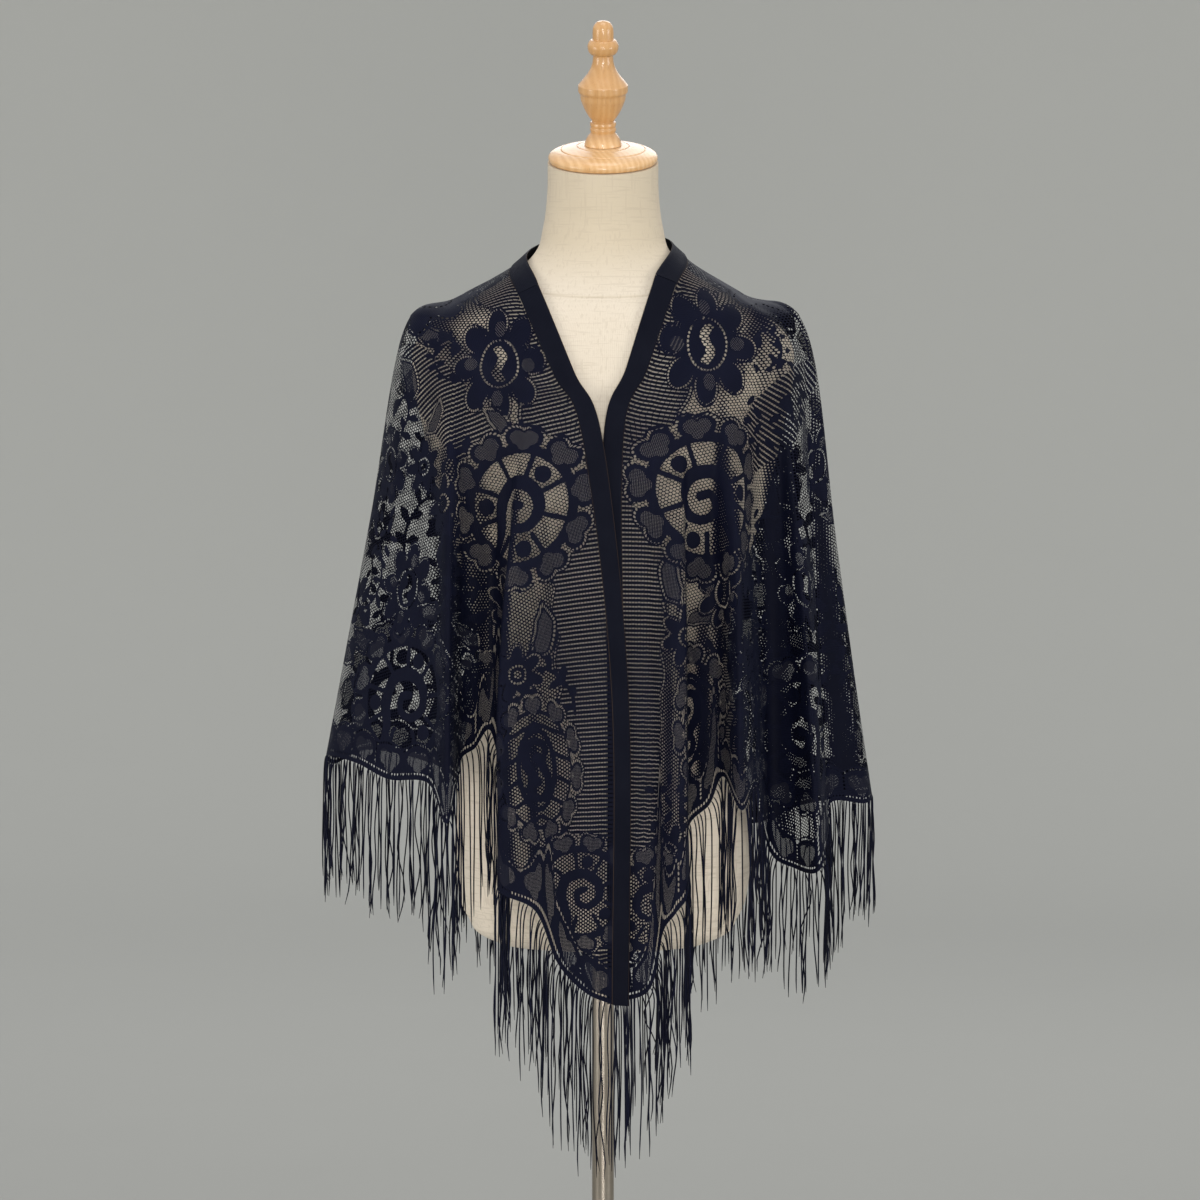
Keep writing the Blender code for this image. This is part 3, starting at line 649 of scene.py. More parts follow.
def cloth_surface(places, steps):
    """The cloth's middle: sections at places among the folds, each read at the steps, with its creases.

    Steps count the knots from the seam of the neck band, at 0, to the hem, at 4, and go back to -1 at the
    band's free edge. The surface is smooth over the lace, and straight across the bands.
    """
    knots = section_knots()
    lace = smooth(np.clip(places, 1, LAST_FOLD - 1), np.arange(1, LAST_FOLD), knots[1:-1])
    left = np.clip(1 - places, 0, 1)[:, None, None] * (knots[0] - knots[1])
    right = np.clip(places - LAST_FOLD + 1, 0, 1)[:, None, None] * (knots[-1] - knots[-2])
    edge, *drop = np.swapaxes(lace + left + right, 0, 1)
    points = smooth(np.maximum(steps, 0), np.arange(len(drop)), np.array(drop))
    points += np.maximum(-steps, 0)[:, None, None] * (edge - drop[0])
    points = np.swapaxes(points, 0, 1)
    points += creases(places, steps)[..., None] * outward(points)
    inner = clear_of_form(points, FORM_CLEARANCE)
    return inner + CLOTH_THICKNESS / 2 * outward(inner)


def creases(places, steps):
    """How far the creases lift the cloth: each a bell across the places, fading at both ends of its run.

    The bell is the cosine bell of the distance from the crease's own line, which drifts from its first
    place to its last, and its height follows a half sine wave along the run, made a little fuller.
    """
    lift = np.zeros((len(places), len(steps)))
    for _, first, last, width, top, bottom, height in CREASES:
        run = np.clip((steps - top) / (bottom - top), 0, 1)
        line = first + (last - first) * run
        across = np.clip((places[:, None] - line[None, :]) / width, -1, 1)
        rise = np.sin(math.pi * run) ** CREASE_FULLNESS
        lift += height * MM * (np.cos(math.pi * across) + 1) / 2 * rise
    return lift


def running_length(points, axis):
    """Length along a grid of points up to each one, from 0."""
    legs = np.linalg.norm(np.diff(points, axis=axis), axis=-1)
    start = np.zeros_like(legs[:1] if axis == 0 else legs[:, :1])
    return np.concatenate([start, np.cumsum(legs, axis=axis)], axis=axis)


def flat_start(points, places):
    """A first guess at where each lace point lies in the flat cut: u along the long edge, v down from it.

    A section lies straight from its place on the neck seam to its place on the hem, and its points keep
    their shares of its length. The hem keeps its own shares along the two legs of the triangle.
    """
    down = running_length(points, 1)
    down = down / down[:, -1:]
    along = running_length(points[:, -1], 0)
    back = np.interp(fold_index("back_tip"), places, along)
    turn = np.where(along < back, along / back - 1, (along - back) / (along[-1] - back))
    share = neck_share(places)
    start = np.stack([NECK_HALF_WIDTH * share, np.full(len(share), BAND_WIDTH)], axis=1)
    corner = CUT_HALF_WIDTH * (1 - BAND_WIDTH / CUT_DEPTH)
    leg = 1 - np.abs(turn)
    hem = np.stack([corner * turn, BAND_WIDTH + (CUT_DEPTH - BAND_WIDTH) * leg], axis=1)
    return start[:, None] + down[..., None] * (hem - start)[:, None]


def flat_cut(points, places):
    """Where each lace point lies in the flat cut, with the cloth's own shape kept as well as can be.

    From the first guess, every cell of a thinned grid pulls its corners towards its own shape on the hung
    cloth, turned to fit as it lies, many times over, first on a coarse grid and then on finer ones.
    """
    flat = flat_start(points, places)
    for every_column, every_row, rounds in FLATTENING:
        columns = np.arange(0, len(points), every_column)
        rows = np.arange(0, points.shape[1], every_row)
        hung = points[np.ix_(columns, rows)]
        start = flat[np.ix_(columns, rows)]
        moved = relaxed(hung, start, rounds) - start
        flat = flat + spread_over(moved, columns, rows, flat.shape)
    return flat


def mean_sides(grid):
    """The two mean sides of every cell of a grid: along its columns, and along its rows."""
    along = np.diff(grid, axis=0)
    down = np.diff(grid, axis=1)
    return (along[:, 1:] + along[:, :-1]) / 2, (down[1:] + down[:-1]) / 2


def relaxed(hung, laid, rounds):
    """The laid-out grid after its cells have pulled towards their hung shapes for a number of rounds.

    A cell's turn is the one whose two sides fit best: the angle of the summed cross and dot products.
    Both fronts stay on the cut's straight edge, and its three corners stay in their places.
    """
    laid = laid.copy()
    along, down = mean_sides(hung)
    length = np.maximum(np.linalg.norm(along, axis=-1), TINY)
    lean = (along * down).sum(axis=-1) / length
    drop = np.sqrt(np.maximum((down**2).sum(axis=-1) - lean**2, TINY))
    back = int(np.argmin(np.abs(laid[:, -1, 0])))
    for _ in range(rounds):
        first, second = mean_sides(laid)
        dot = length * first[..., 0] + lean * second[..., 0] + drop * second[..., 1]
        cross = length * first[..., 1] + lean * second[..., 1] - drop * second[..., 0]
        size = np.maximum(np.hypot(dot, cross), TINY)
        way = np.stack([dot / size, cross / size], axis=-1)
        square = np.stack([-way[..., 1], way[..., 0]], axis=-1)
        first = (first - length[..., None] * way) * CELL_PULL
        second = (second - lean[..., None] * way - drop[..., None] * square) * CELL_PULL
        laid[:-1, :-1] += first + second
        laid[1:, :-1] += second - first
        laid[:-1, 1:] += first - second
        laid[1:, 1:] -= first + second
        keep_to_triangle(laid, back)
    return laid


def keep_to_triangle(laid, back):
    """Puts a laid-out grid's fronts back on the long straight edge, and its corners in their places."""
    laid[0, :, 1] = laid[-1, :, 1] = BAND_WIDTH
    corner = CUT_HALF_WIDTH * (1 - BAND_WIDTH / CUT_DEPTH)
    laid[0, -1] = (-corner, BAND_WIDTH)
    laid[-1, -1] = (corner, BAND_WIDTH)
    laid[back, -1] = (0, CUT_DEPTH)


def spread_over(moved, columns, rows, shape):
    """Moves of a thinned grid's points, read over the whole grid in straight shares between them."""
    at_column = np.interp(np.arange(shape[0]), columns, np.arange(len(columns)))
    at_row = np.interp(np.arange(shape[1]), rows, np.arange(len(rows)))
    left = np.minimum(at_column.astype(int), len(columns) - 2)
    over = np.minimum(at_row.astype(int), len(rows) - 2)
    across = (at_column - left)[:, None, None]
    down = (at_row - over)[None, :, None]
    above = moved[left][:, over] * (1 - across) + moved[left + 1][:, over] * across
    below = moved[left][:, over + 1] * (1 - across) + moved[left + 1][:, over + 1] * across
    return above * (1 - down) + below * down


def oval(x, y, half_width, half_height):
    """Signed distance to an oval, to first order: its reach less one, over the slope of the reach."""
    reach = np.hypot(x / half_width, y / half_height) + TINY
    slope = np.hypot(x / half_width**2, y / half_height**2) + TINY / half_width
    return reach * (reach - 1) / slope


def stroke(x, y, rows):
    """Signed distance to a tapering stroke, from rows of two coordinates and a half width on its spine.

    It is the least, over the smooth spine's short legs, of the distance to the leg less its half width.
    """
    rows = np.array(rows, float)
    stations = np.arange(len(rows))
    at = np.linspace(0, stations[-1], STROKE_LEGS * stations[-1] + 1)
    spine = smooth(at, stations, rows[:, :2])
    half = np.interp(at, stations, rows[:, 2])
    best = np.full(x.shape, FAR)
    for start, end, wide, next_wide in zip(spine[:-1], spine[1:], half[:-1], half[1:]):
        leg = end - start
        share = ((x - start[0]) * leg[0] + (y - start[1]) * leg[1]) / math.hypot(*leg) ** 2
        share = np.clip(share, 0, 1)
        distance = np.hypot(x - start[0] - share * leg[0], y - start[1] - share * leg[1])
        best = np.minimum(best, distance - (wide + share * (next_wide - wide)))
    return best


def union(*distances):
    """The signed distance to several shapes together: the least of theirs."""
    return np.minimum.reduce(distances)


def within(*distances):
    """The signed distance to what several shapes share: the greatest of theirs."""
    return np.maximum.reduce(distances)


def spokes(x, y, count, radius, turn=0.0):
    """Local coordinates round the nearest of several points on a ring: across it, and outward."""
    step = FULL_TURN / count
    angle = np.mod(np.arctan2(x, y) - turn + step / 2, step) - step / 2
    out = np.hypot(x, y)
    return out * np.sin(angle), out * np.cos(angle) - radius


def beads_round(across, out, count):
    """Running number of beads round a point: a whole count for each full turn."""
    return count * np.arctan2(across, out) / FULL_TURN


def lobe(across, out):
    """Signed distance to a lobe with two round bumps, side by side across its spoke."""
    return np.hypot(np.abs(across) - 8, out) - LOBE_RADIUS


def heart(across, out):
    """Signed distance to a heart that lies in a lobe: two discs side by side, and one below them."""
    return union(np.hypot(np.abs(across) - 6.2, out) - 7.4, np.hypot(across, out + 6.5) - 6.5)


def slits(x, y, count, radius):
    """Signed distance to narrow ovals of net between the lobes of a ring."""
    across, out = spokes(x, y, count, radius, math.pi / count)
    return oval(across, out, 2.2, 10.5)


def flower(x, y):
    """An open flower: a beaded oval eye with a wavy strip of net, and broad petals with beaded rims.

    Half of the petals have a sheer spot.
    """
    eye = oval(x, y, 18, 25)
    across, out = spokes(x * 1.3, y, PETALS, 45)
    petal = oval(across, out, 16.4, 20)
    spot_across, spot_out = spokes(x * 1.3, y, PETALS // 2, 39, 0.1)
    gap_across, gap_out = spokes(x * 1.3, y, PETALS, 54, math.pi / PETALS)
    outline = union(oval(x, y, 30, 42), petal)
    strip = within(eye + 4.5, np.abs(x - 3.5 * np.sin(y / 5)) - 5)
    notch = oval(gap_across, gap_out, 1.6, 10)
    eye_rim = np.abs(eye - 1.5)
    petal_rim = np.abs(petal + 2.4)
    eye_beat = beads_round(x * 25 / 18, y, 38)
    petal_beat = beads_round(across * 1.2, out, 31)
    return {
        "outline": outline,
        "solid": within(outline, -union(strip, notch)),
        "sheer": within(oval(spot_across, spot_out, 7.5, 9), outline + 3),
        "bead": union(eye_rim, petal_rim + 0.15 * np.maximum(-out - 4, 0)),
        "beat": np.where(eye_rim < petal_rim, eye_beat, petal_beat),
    }


def medallion(x, y):
    """A round medallion 86 mm in radius: a broad spiral in net, with bars and discs round it.

    Its border has lobes with beads, a sheer heart in each and a slit of net between them.
    """
    r = np.hypot(x, y)
    across, out = spokes(x, y, LOBES, 72)
    outline = union(r - 70, lobe(across, out))
    spiral = stroke(x, y, SPIRAL)
    bar_across, bar_out = spokes(x, y, BARS, 45, 0.2)
    bars = within(np.abs(bar_across) - 2.5, np.abs(bar_out) - 12)
    disc_across, disc_out = spokes(x, y, BARS // 3, 44, 0.55)
    net = within(r - 56, -spiral, -bars, 8.5 - np.hypot(disc_across, disc_out))
    return {
        "outline": outline,
        "solid": within(outline, -union(net, slits(x, y, LOBES, 75))),
        "sheer": heart(across, out),
        "bead": np.abs(outline + BEAD_INSET),
        "beat": beads_round(across, out, 30),
    }


def arch(x, y):
    """A long medallion 92 mm high: two curls in net, a solid band, net windows, and a border of lobes."""
    across, out = spokes(x * 1.5, y, LOBES, 76)
    outline = union(oval(x, y, 48, 74), lobe(across, out) * 0.8)
    bar = np.abs(np.mod(y + 0.45 * np.abs(x), 27) - 13.5) - 11
    windows = within(np.abs(oval(x, y, 34, 57)) - 8, bar)
    upper = stroke(x, y - 18, CURL)
    lower = stroke(-x, -y - 18, CURL)
    middle = within(oval(x, y, 20, 43), -upper, -lower)
    return {
        "outline": outline,
        "solid": within(outline, -union(windows, middle, slits(x * 1.5, y, LOBES, 79))),
        "sheer": heart(across, out),
        "bead": np.abs(outline + BEAD_INSET),
        "beat": beads_round(across, out, 30),
    }


def leaf(x, y):
    """A pointed leaf 58 mm long with a sheer heart and a beaded outline."""
    body = stroke(x, y, LEAF_SPINE)
    return {
        "outline": body,
        "solid": body,
        "sheer": body + 5.5,
        "bead": np.abs(body + BEAD_INSET),
        "beat": beads_round(x, y * 0.55, 40),
    }


def spray(x, y):
    """A curled stem 100 mm long with a drop at its end and nine small leaves along both sides."""
    leaves = [
        stroke(x, y, ((a, b, 1.2), (a + c / 2, b + d * 0.6, half), (a + c, b + d, 0.6)))
        for a, b, c, d, half in SPRAY_LEAVES
    ]
    return {"outline": union(stroke(x, y, SPRAY_STEM), stroke(x, y, SPRAY_DROP), *leaves)}


def bloom(x, y):
    """A dark bloom of seven solid petals with beaded rims, a beaded ring and a small net eye."""
    across, out = spokes(x, y, 7, 19)
    petal = oval(across, out, 8.6, 13)
    outline = union(petal, np.hypot(x, y) - 14)
    ring = np.abs(np.hypot(x, y) - 9)
    rim = np.abs(petal + 1.8) + 0.2 * np.maximum(-out, 0)
    return {
        "outline": outline,
        "solid": within(outline, 4.2 - np.hypot(x, y)),
        "bead": union(ring, rim),
        "beat": np.where(ring < rim, beads_round(x, y, 17), beads_round(across * 1.4, out, 18)),
    }


def scatter(x, y):
    """Small leaves on net, 70 mm across: a loose group of dark ovals, each turned about its middle."""
    ovals = []
    for middle_x, middle_y, turn, half_width, half_height in SCATTER_OVALS:
        sine = math.sin(turn)
        cosine = math.cos(turn)
        across = (x - middle_x) * cosine + (y - middle_y) * sine
        out = (y - middle_y) * cosine - (x - middle_x) * sine
        ovals.append(oval(across, out, half_width, half_height))
    return {"outline": union(*ovals)}


def flat_slopes(points, flat):
    """How the cloth's points move for each metre of u and of v: slopes by column and row, made flat."""
    by_grid = np.stack([np.gradient(points, axis=0), np.gradient(points, axis=1)], axis=-1)
    cut = np.stack([np.gradient(flat, axis=0), np.gradient(flat, axis=1)], axis=-1)
    return by_grid @ np.linalg.pinv(cut)


def motif_plane(cloth, centre, reach, turn):
    """The lace points near a centre, and their places in millimetres in a motif's own unstretched plane.

    Where the cloth is smooth, the plane touches it at the centre, upright. Where it is folded, the flat
    cut is the plane, with the cloth's mean stretch for its scale and its mean upward way for its y.
    """
    offset = cloth["flat"] - np.array(centre)
    apart = np.hypot(offset[..., 0], offset[..., 1])
    reach = reach * MM
    normal = np.mean(cloth["normals"][apart < SMOOTH_REACH * reach], axis=0)
    smoothness = np.linalg.norm(normal)
    normal = unit(normal)
    up = unit(np.array([0, 0, 1]) - normal * normal[2])
    axes = np.stack([np.cross(up, normal), up])
    if smoothness > SMOOTH_ENOUGH:
        away = cloth["points"] - cloth["points"][np.unravel_index(np.argmin(apart), apart.shape)]
        close = (np.linalg.norm(away, axis=-1) < reach) & (apart < 2 * reach)
        near = np.nonzero(close & (cloth["normals"] @ normal > FACING_LEAST))
        x, y = axes @ away[near].T / MM
    else:
        near = np.nonzero(apart < reach)
        slopes = cloth["slopes"][near]
        spread, ways = np.linalg.eigh(np.median(np.swapaxes(slopes, 1, 2) @ slopes, axis=0))
        stretch = ways @ np.diag(np.sqrt(np.maximum(spread, STRETCH_LEAST))) @ ways.T
        left, _, right = np.linalg.svd(axes @ np.mean(slopes, axis=0) @ np.linalg.inv(stretch))
        x, y = (left @ right @ stretch @ offset[near].T) / MM
    sine = math.sin(math.radians(turn))
    cosine = math.cos(math.radians(turn))
    return near, x * cosine + y * sine, y * cosine - x * sine


def overlay(fields, near, drawn):
    """Draws a shape into the lace's fields at the near points.

    Inside its outline the shape's own values count, and without any it is close knit. Outside it the old
    values stay, with the shape's knit added, and a margin that is clear of sheer patches and eyelets.
    """
    outline = drawn["outline"]
    inside = outline < 0
    bare = np.full(outline.shape, FAR)
    inner = {"solid": outline, "sheer": bare, "bead": bare, "beat": bare, **drawn}
    outer = {
        "solid": np.minimum(fields["solid"][near], outline),
        "sheer": np.maximum(fields["sheer"][near], SHEER_MARGIN - outline),
        "bead": np.maximum(fields["bead"][near], BEAD_MARGIN - outline),
        "beat": fields["beat"][near],
    }
    for title, values in outer.items():
        fields[title][near] = np.where(inside, inner[title], values)


def lay_motif(cloth, fields, kind, centre_u, centre_v, turn, size, mirror):
    """Draws one motif into the lace's fields, at its size, and takes it out of the ladder."""
    draw, reach = MOTIF_KINDS[kind]
    near, x, y = motif_plane(cloth, (centre_u, centre_v), reach * size * MOTIF_ROOM, turn)
    drawn = draw(x * mirror / size, y / size)
    drawn = {title: values * (1 if title == "beat" else size) for title, values in drawn.items()}
    overlay(fields, near, drawn)
    fields["ladder"][near] = np.maximum(fields["ladder"][near], -drawn["outline"])


def from_edges(points):
    """Distances on the cloth in millimetres: from the band's seam, and straight up from the hem.

    The first is the least of the lengths down from the neck and across from each front. The second is the
    length up a section, times the sine of the section's angle with the hem.
    """
    down = running_length(points, 1)
    across = running_length(points, 0)
    seam = np.minimum(down, np.minimum(across, across[-1:] - across))
    hem_way = unit(np.gradient(points[:, -1], axis=0))
    cross_way = unit(points[:, -1] - points[:, -1 - HEM_REACH_ROWS])
    sine = np.linalg.norm(np.cross(hem_way, cross_way), axis=-1)
    return seam / MM, (down[:, -1:] - down) * sine[:, None] / MM


def hem_border(along, hem):
    """The lobed border, from the lengths along the hem and up from it: its top edge is a cosine wave.

    Each lobe has a sheer heart. Eyelets follow the hem and the top edge, and stand between the lobes.
    """
    across = np.mod(along, HEM_LOBE_PITCH) - HEM_LOBE_PITCH / 2
    between = np.mod(along + HEM_LOBE_PITCH / 2, HEM_LOBE_PITCH) - HEM_LOBE_PITCH / 2
    outline = hem - (HEM_BORDER + HEM_WAVE * np.cos(across * math.pi / HEM_LOBE_PITCH))
    chain = union(np.abs(hem - HEM_CHAIN), np.abs(outline + BEAD_INSET))
    upright = within(np.abs(between), np.abs(hem - HEM_LOBE_LINE) - HEM_UPRIGHT)
    return {
        "outline": outline,
        "sheer": heart(across, hem - HEM_LOBE_LINE),
        "bead": union(chain, upright),
        "beat": np.where(upright < chain, hem, along) / BEAD_PITCH,
    }


def lace_fields(cloth):
    """What the knitting does at every lace point, as distances in millimetres, less than 0 inside.

    solid is close knit, sheer a thin patch, ladder the openwork of bars beside the band, bead the
    distance to the nearest line of eyelets, and beat the running number of eyelets along it. gather is
    how far the holes are closed, from 0 to 1: on the walls of deep folds, and where the knit is bunched.
    """
    u = cloth["flat"][..., 0] / MM
    seam, hem = from_edges(cloth["points"])
    border = EDGE_LINE + EDGE_WAVE * np.abs(np.sin(u * math.pi / EDGE_WAVE_LENGTH))
    edge = (seam - border) * EDGE_SLOPE
    fields = {
        "solid": np.abs(edge) - BEAD_INSET,
        "sheer": np.full(u.shape, FAR),
        "bead": np.abs(edge),
        "beat": u / BEAD_PITCH,
        "ladder": edge,
    }
    for centre_u, centre_v, half_u, half_v in LADDER_PATCHES:
        patch = oval(u - centre_u, cloth["flat"][..., 1] / MM - centre_v, half_u, half_v)
        fields["ladder"] = np.minimum(fields["ladder"], patch)
    for motif in fill_motifs() + [row[1:] for row in MOTIFS]:
        lay_motif(cloth, fields, *motif)
    along = running_length(cloth["points"][:, -1:], 0) / MM + np.zeros_like(u)
    overlay(fields, ..., hem_border(along, hem))
    level = unit(cloth["points"] * np.array([1, 1, 0]))
    facing = np.abs((cloth["normals"] * level).sum(axis=-1))
    walls = np.clip((GATHER_FROM - facing) / GATHER_FROM, 0, 1)
    fields["gather"] = np.maximum(walls, bunched(cloth))
    return fields


def bunched(cloth):
    """How far the knit is bunched in the folds, from 0 to 1: the greatest of the bunches' at each point.

    A bunch has its full share round its middle line, and falls evenly to 0 at its half width and over
    its two ends.
    """
    steps = cloth["steps"][None, :]
    share = np.zeros((len(cloth["places"]), len(cloth["steps"])))
    for _, top, bottom, half, first, last, full in BUNCHES:
        down = np.clip((steps - first) / (last - first), 0, 1)
        away = np.abs(cloth["places"][:, None] - top - (bottom - top) * down) / half
        ends = np.clip(np.minimum(steps - first, last - steps) / BUNCH_FADE, 0, 1)
        share = np.maximum(share, np.clip(BUNCH_FLAT - BUNCH_FLAT * away, 0, 1) * ends * full)
    return share


def fill_motifs():
    """Rows for the small fill motifs: a slanted lattice over the cut, clear of large motifs and open net.

    A motif's kind, turn and size follow from its number, which counts both the line and the column.
    """
    large = [(u, v, FILL_ROOM * MOTIF_KINDS[kind][1] * MM * size) for _, kind, u, v, _, size, _ in MOTIFS]
    places = [*large, *OPEN_NET]
    by_line, by_column = FILL_COUNTS
    rows = []
    for line in range(1, FILL_LINES + 1):
        v = EDGE_LINE + FILL_ROW * (line - FILL_START)
        for column in range(-FILL_LINES, FILL_LINES + 1):
            u = (column + 0.5 * (line % 2)) * FILL_PITCH
            hem = (CUT_DEPTH / MM - v) - abs(u) * CUT_DEPTH / CUT_HALF_WIDTH
            taken = [math.hypot(u * MM - at_u, v * MM - at_v) < room for at_u, at_v, room in places]
            if hem > HEM_BORDER + FILL_ROW / 2 and not any(taken):
                number = by_line * line + by_column * column
                kind = FILL_KINDS[number % len(FILL_KINDS)]
                turn = GOLDEN_TURN * number % 360
                size = FILL_SIZE + FILL_GROWTH * (number % FILL_SIZES)
                rows.append((kind, u * MM, v * MM, turn, size, 1 - 2 * (line % 2)))
    return rows


MOTIF_KINDS = {
    "flower": (flower, 68),
    "medallion": (medallion, 92),
    "arch": (arch, 100),
    "leaf": (leaf, 34),
    "spray": (spray, 62),
    "bloom": (bloom, 34),
    "scatter": (scatter, 46),
}


def mesh_object(name, points, corners, skin, corner_layers=(), point_layers=(), sharp=None):
    """A smooth mesh of faces with three or four corners each, with layers of UV and point values."""
    sizes = np.concatenate([np.full(len(group), group.shape[1]) for group in corners])
    loops = np.concatenate([group.reshape(-1) for group in corners])
    count = points.size // 3
    mesh = bpy.data.meshes.new(name)
    mesh.vertices.add(count)
    mesh.vertices.foreach_set("co", np.asarray(points, np.float32).reshape(-1))
    mesh.loops.add(len(loops))
    mesh.loops.foreach_set("vertex_index", loops.astype(np.int32))
    mesh.polygons.add(len(sizes))
    mesh.polygons.foreach_set("loop_start", (np.cumsum(sizes) - sizes).astype(np.int32))
    mesh.update(calc_edges=True)
    mesh.validate()
    for title, values in corner_layers:
        layer = mesh.uv_layers.new(name=title)
        layer.uv.foreach_set("vector", np.asarray(values, np.float32).reshape(-1, 2)[loops].reshape(-1))
    for title, values in point_layers:
        kind, key = ("FLOAT", "value") if values.size == count else ("FLOAT_VECTOR", "vector")
        layer = mesh.attributes.new(title, kind, "POINT")
        layer.data.foreach_set(key, np.asarray(values, np.float32).reshape(-1))
    mesh.materials.append(skin)
    mesh.shade_smooth()
    if sharp is not None:
        mesh.set_sharp_from_angle(angle=sharp)
    made = bpy.data.objects.new(name, mesh)
    bpy.context.scene.collection.objects.link(made)
    return made


def grid_corners(columns, rows, round_first=False):
    """Corner numbers of a grid's square faces. The last column can join the first one."""
    number = np.arange(columns * rows).reshape(columns, rows)
    if round_first:
        number = np.concatenate([number, number[:1]])
    squares = [number[:-1, :-1], number[1:, :-1], number[1:, 1:], number[:-1, 1:]]
    return np.stack(squares, axis=-1).reshape(-1, 4)


def grid_shares(columns, rows):
    """A grid's own UV map, from 0 to 1 both ways, a little in from the rim."""
    across = np.linspace(MAP_MARGIN, 1 - MAP_MARGIN, columns)
    down = np.linspace(1 - MAP_MARGIN, MAP_MARGIN, rows)
    return np.stack(np.meshgrid(across, down, indexing="ij"), axis=-1)


def flat_sizes(flat):
    """The box and the area of a stretch of the flat cut, summed over its grid cells."""
    spans = flat.reshape(-1, 2).max(axis=0) - flat.reshape(-1, 2).min(axis=0)
    along = np.diff(flat, axis=0)[:, :-1]
    down = np.diff(flat, axis=1)[:-1]
    area = np.abs(along[..., 0] * down[..., 1] - along[..., 1] * down[..., 0]).sum()
    return tuple(map(float, spans)), float(area)


def finished(piece, node):
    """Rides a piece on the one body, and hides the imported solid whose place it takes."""
    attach(piece, "root")
    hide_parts(node)
    return piece


def lace_stretches(cloth, fields):
    """The five stretches of lace and their fringes, cut from the one surface."""
    for name, start, end, strand_length in PANELS:
        first = (fold_index(start) - 1) * COLUMNS_PER_FOLD
        stop = (fold_index(end) - 1) * COLUMNS_PER_FOLD + 1
        points = cloth["points"][first:stop]
        flat = cloth["flat"][first:stop]
        columns, rows = points.shape[:2]
        piece = mesh_object(
            f"shawl_{name}",
            points,
            [grid_corners(columns, rows)],
            materials["lace"],
            [("flat", flat), ("OFBake", grid_shares(columns, rows))],
            [(title, field[first:stop]) for title, field in fields.items()],
        )
        finished(piece, f"lace_{name}")
        hanging = fringe(name, start, end, strand_length)
        spans, area = flat_sizes(flat)


def strand_roots(start, end, rng):
    """The strands from one fold to another: lengths along the hem, points on it, and ways out of it.

    They are evenly spaced but for some jitter. A way out is the cloth's own way down at the hem, turned
    nearly square to the hem, with a little noise.
    """
    first = 0 if start == "left_seam" else fold_index(start)
    last = LAST_FOLD if end == "right_seam" else fold_index(end)
    places = np.linspace(first, last, (last - first) * COLUMNS_PER_FOLD + 1)
    hem = cloth_surface(places, np.array(HEM_STEPS))
    along = running_length(hem[:, -1:], 0)[:, 0]
    count = int(along[-1] / STRAND_PITCH)
    at = (np.arange(count) + 0.5 + rng.uniform(-STRAND_JITTER, STRAND_JITTER, count)) / count * along[-1]
    root, above = [
        np.stack([np.interp(at, along, row[:, axis]) for axis in range(3)], axis=1)
        for row in (hem[:, -1], hem[:, 0])
    ]
    edge = unit(np.gradient(root, axis=0))
    down = root - above
    down -= HEM_SQUARE * (down * edge).sum(-1, keepdims=True) * edge
    return at, root, unit(down) + rng.normal(0, LEAVE_NOISE, (count, 3))


def hung_paths(at, root, leave, strand_length, rng):
    """The strands' paths, each the sum of its short steps, and how far along them their points lie.

    The steps' way turns from the way out of the hem to straight down within about a centimetre. The
    lengths swing slowly along the hem, as a sine does, and vary a little from strand to strand.
    """
    length = strand_length * np.clip(rng.normal(LENGTH_MEAN, LENGTH_NOISE, len(at)), *LENGTH_LIMITS)
    length += LENGTH_SWING * np.sin(at / SWING_LENGTH)
    share = np.linspace(0, 1, STRAND_RINGS) ** RING_CROWDING
    run = share[None, :] * length[:, None]
    bent = (1 - np.exp(-run / BEND_LENGTH))[..., None]
    way = unit(leave[:, None] * (1 - bent) + np.array([0, 0, -1.0]) * bent)
    path = np.cumsum(way * np.diff(run, axis=1, prepend=0)[..., None], axis=1) + root[:, None]
    return path, share[:, None]


def sway(root, share, rng):
    """How far the strands' points lie to the side: a pull, a wave and a drift, which all start from 0.

    The pull draws neighbours towards the middle of their clump, or a little away from it. The wave is a
    sine along the strand, and the drift grows towards its end.
    """
    count = len(root)
    clump = np.cumsum(rng.random(count) < CLUMP_START)
    middle = np.stack([np.bincount(clump, root[:, k]) / np.bincount(clump) for k in range(2)], axis=1)
    pull = rng.uniform(*CLUMP_PULL, count)[:, None] * (middle[clump] - root[:, :2])
    phase = rng.uniform(0, FULL_TURN, (count, 2, 2))[:, None, 0]
    turns = rng.uniform(*WAVE_TURNS, (count, 2))
    swing = rng.gamma(*WAVE_SPREAD, (count, 2))
    wave = swing[:, None] * (np.sin(share * turns[:, None] * FULL_TURN + phase) - np.sin(phase))
    drift = rng.normal(0, DRIFT, (count, 1, 2)) * share**DRIFT_GROWTH
    return pull[:, None] * share**PULL_GROWTH + wave * share**WAVE_GROWTH + drift


def fringe(name, start, end, strand_length):
    """One stretch of fringe: strands that leave the hem nearly square to it, then hang down."""
    rng = np.random.default_rng(FRINGE_SEED + fold_index(start))
    at, root, leave = strand_roots(start, end, rng)
    path, share = hung_paths(at, root, leave, strand_length, rng)
    path[..., :2] += sway(root, share, rng)
    piece = strands(f"shawl_fringe_{name}", clear_of_form(path, FORM_CLEARANCE))
    return finished(piece, f"fringe_{name}")


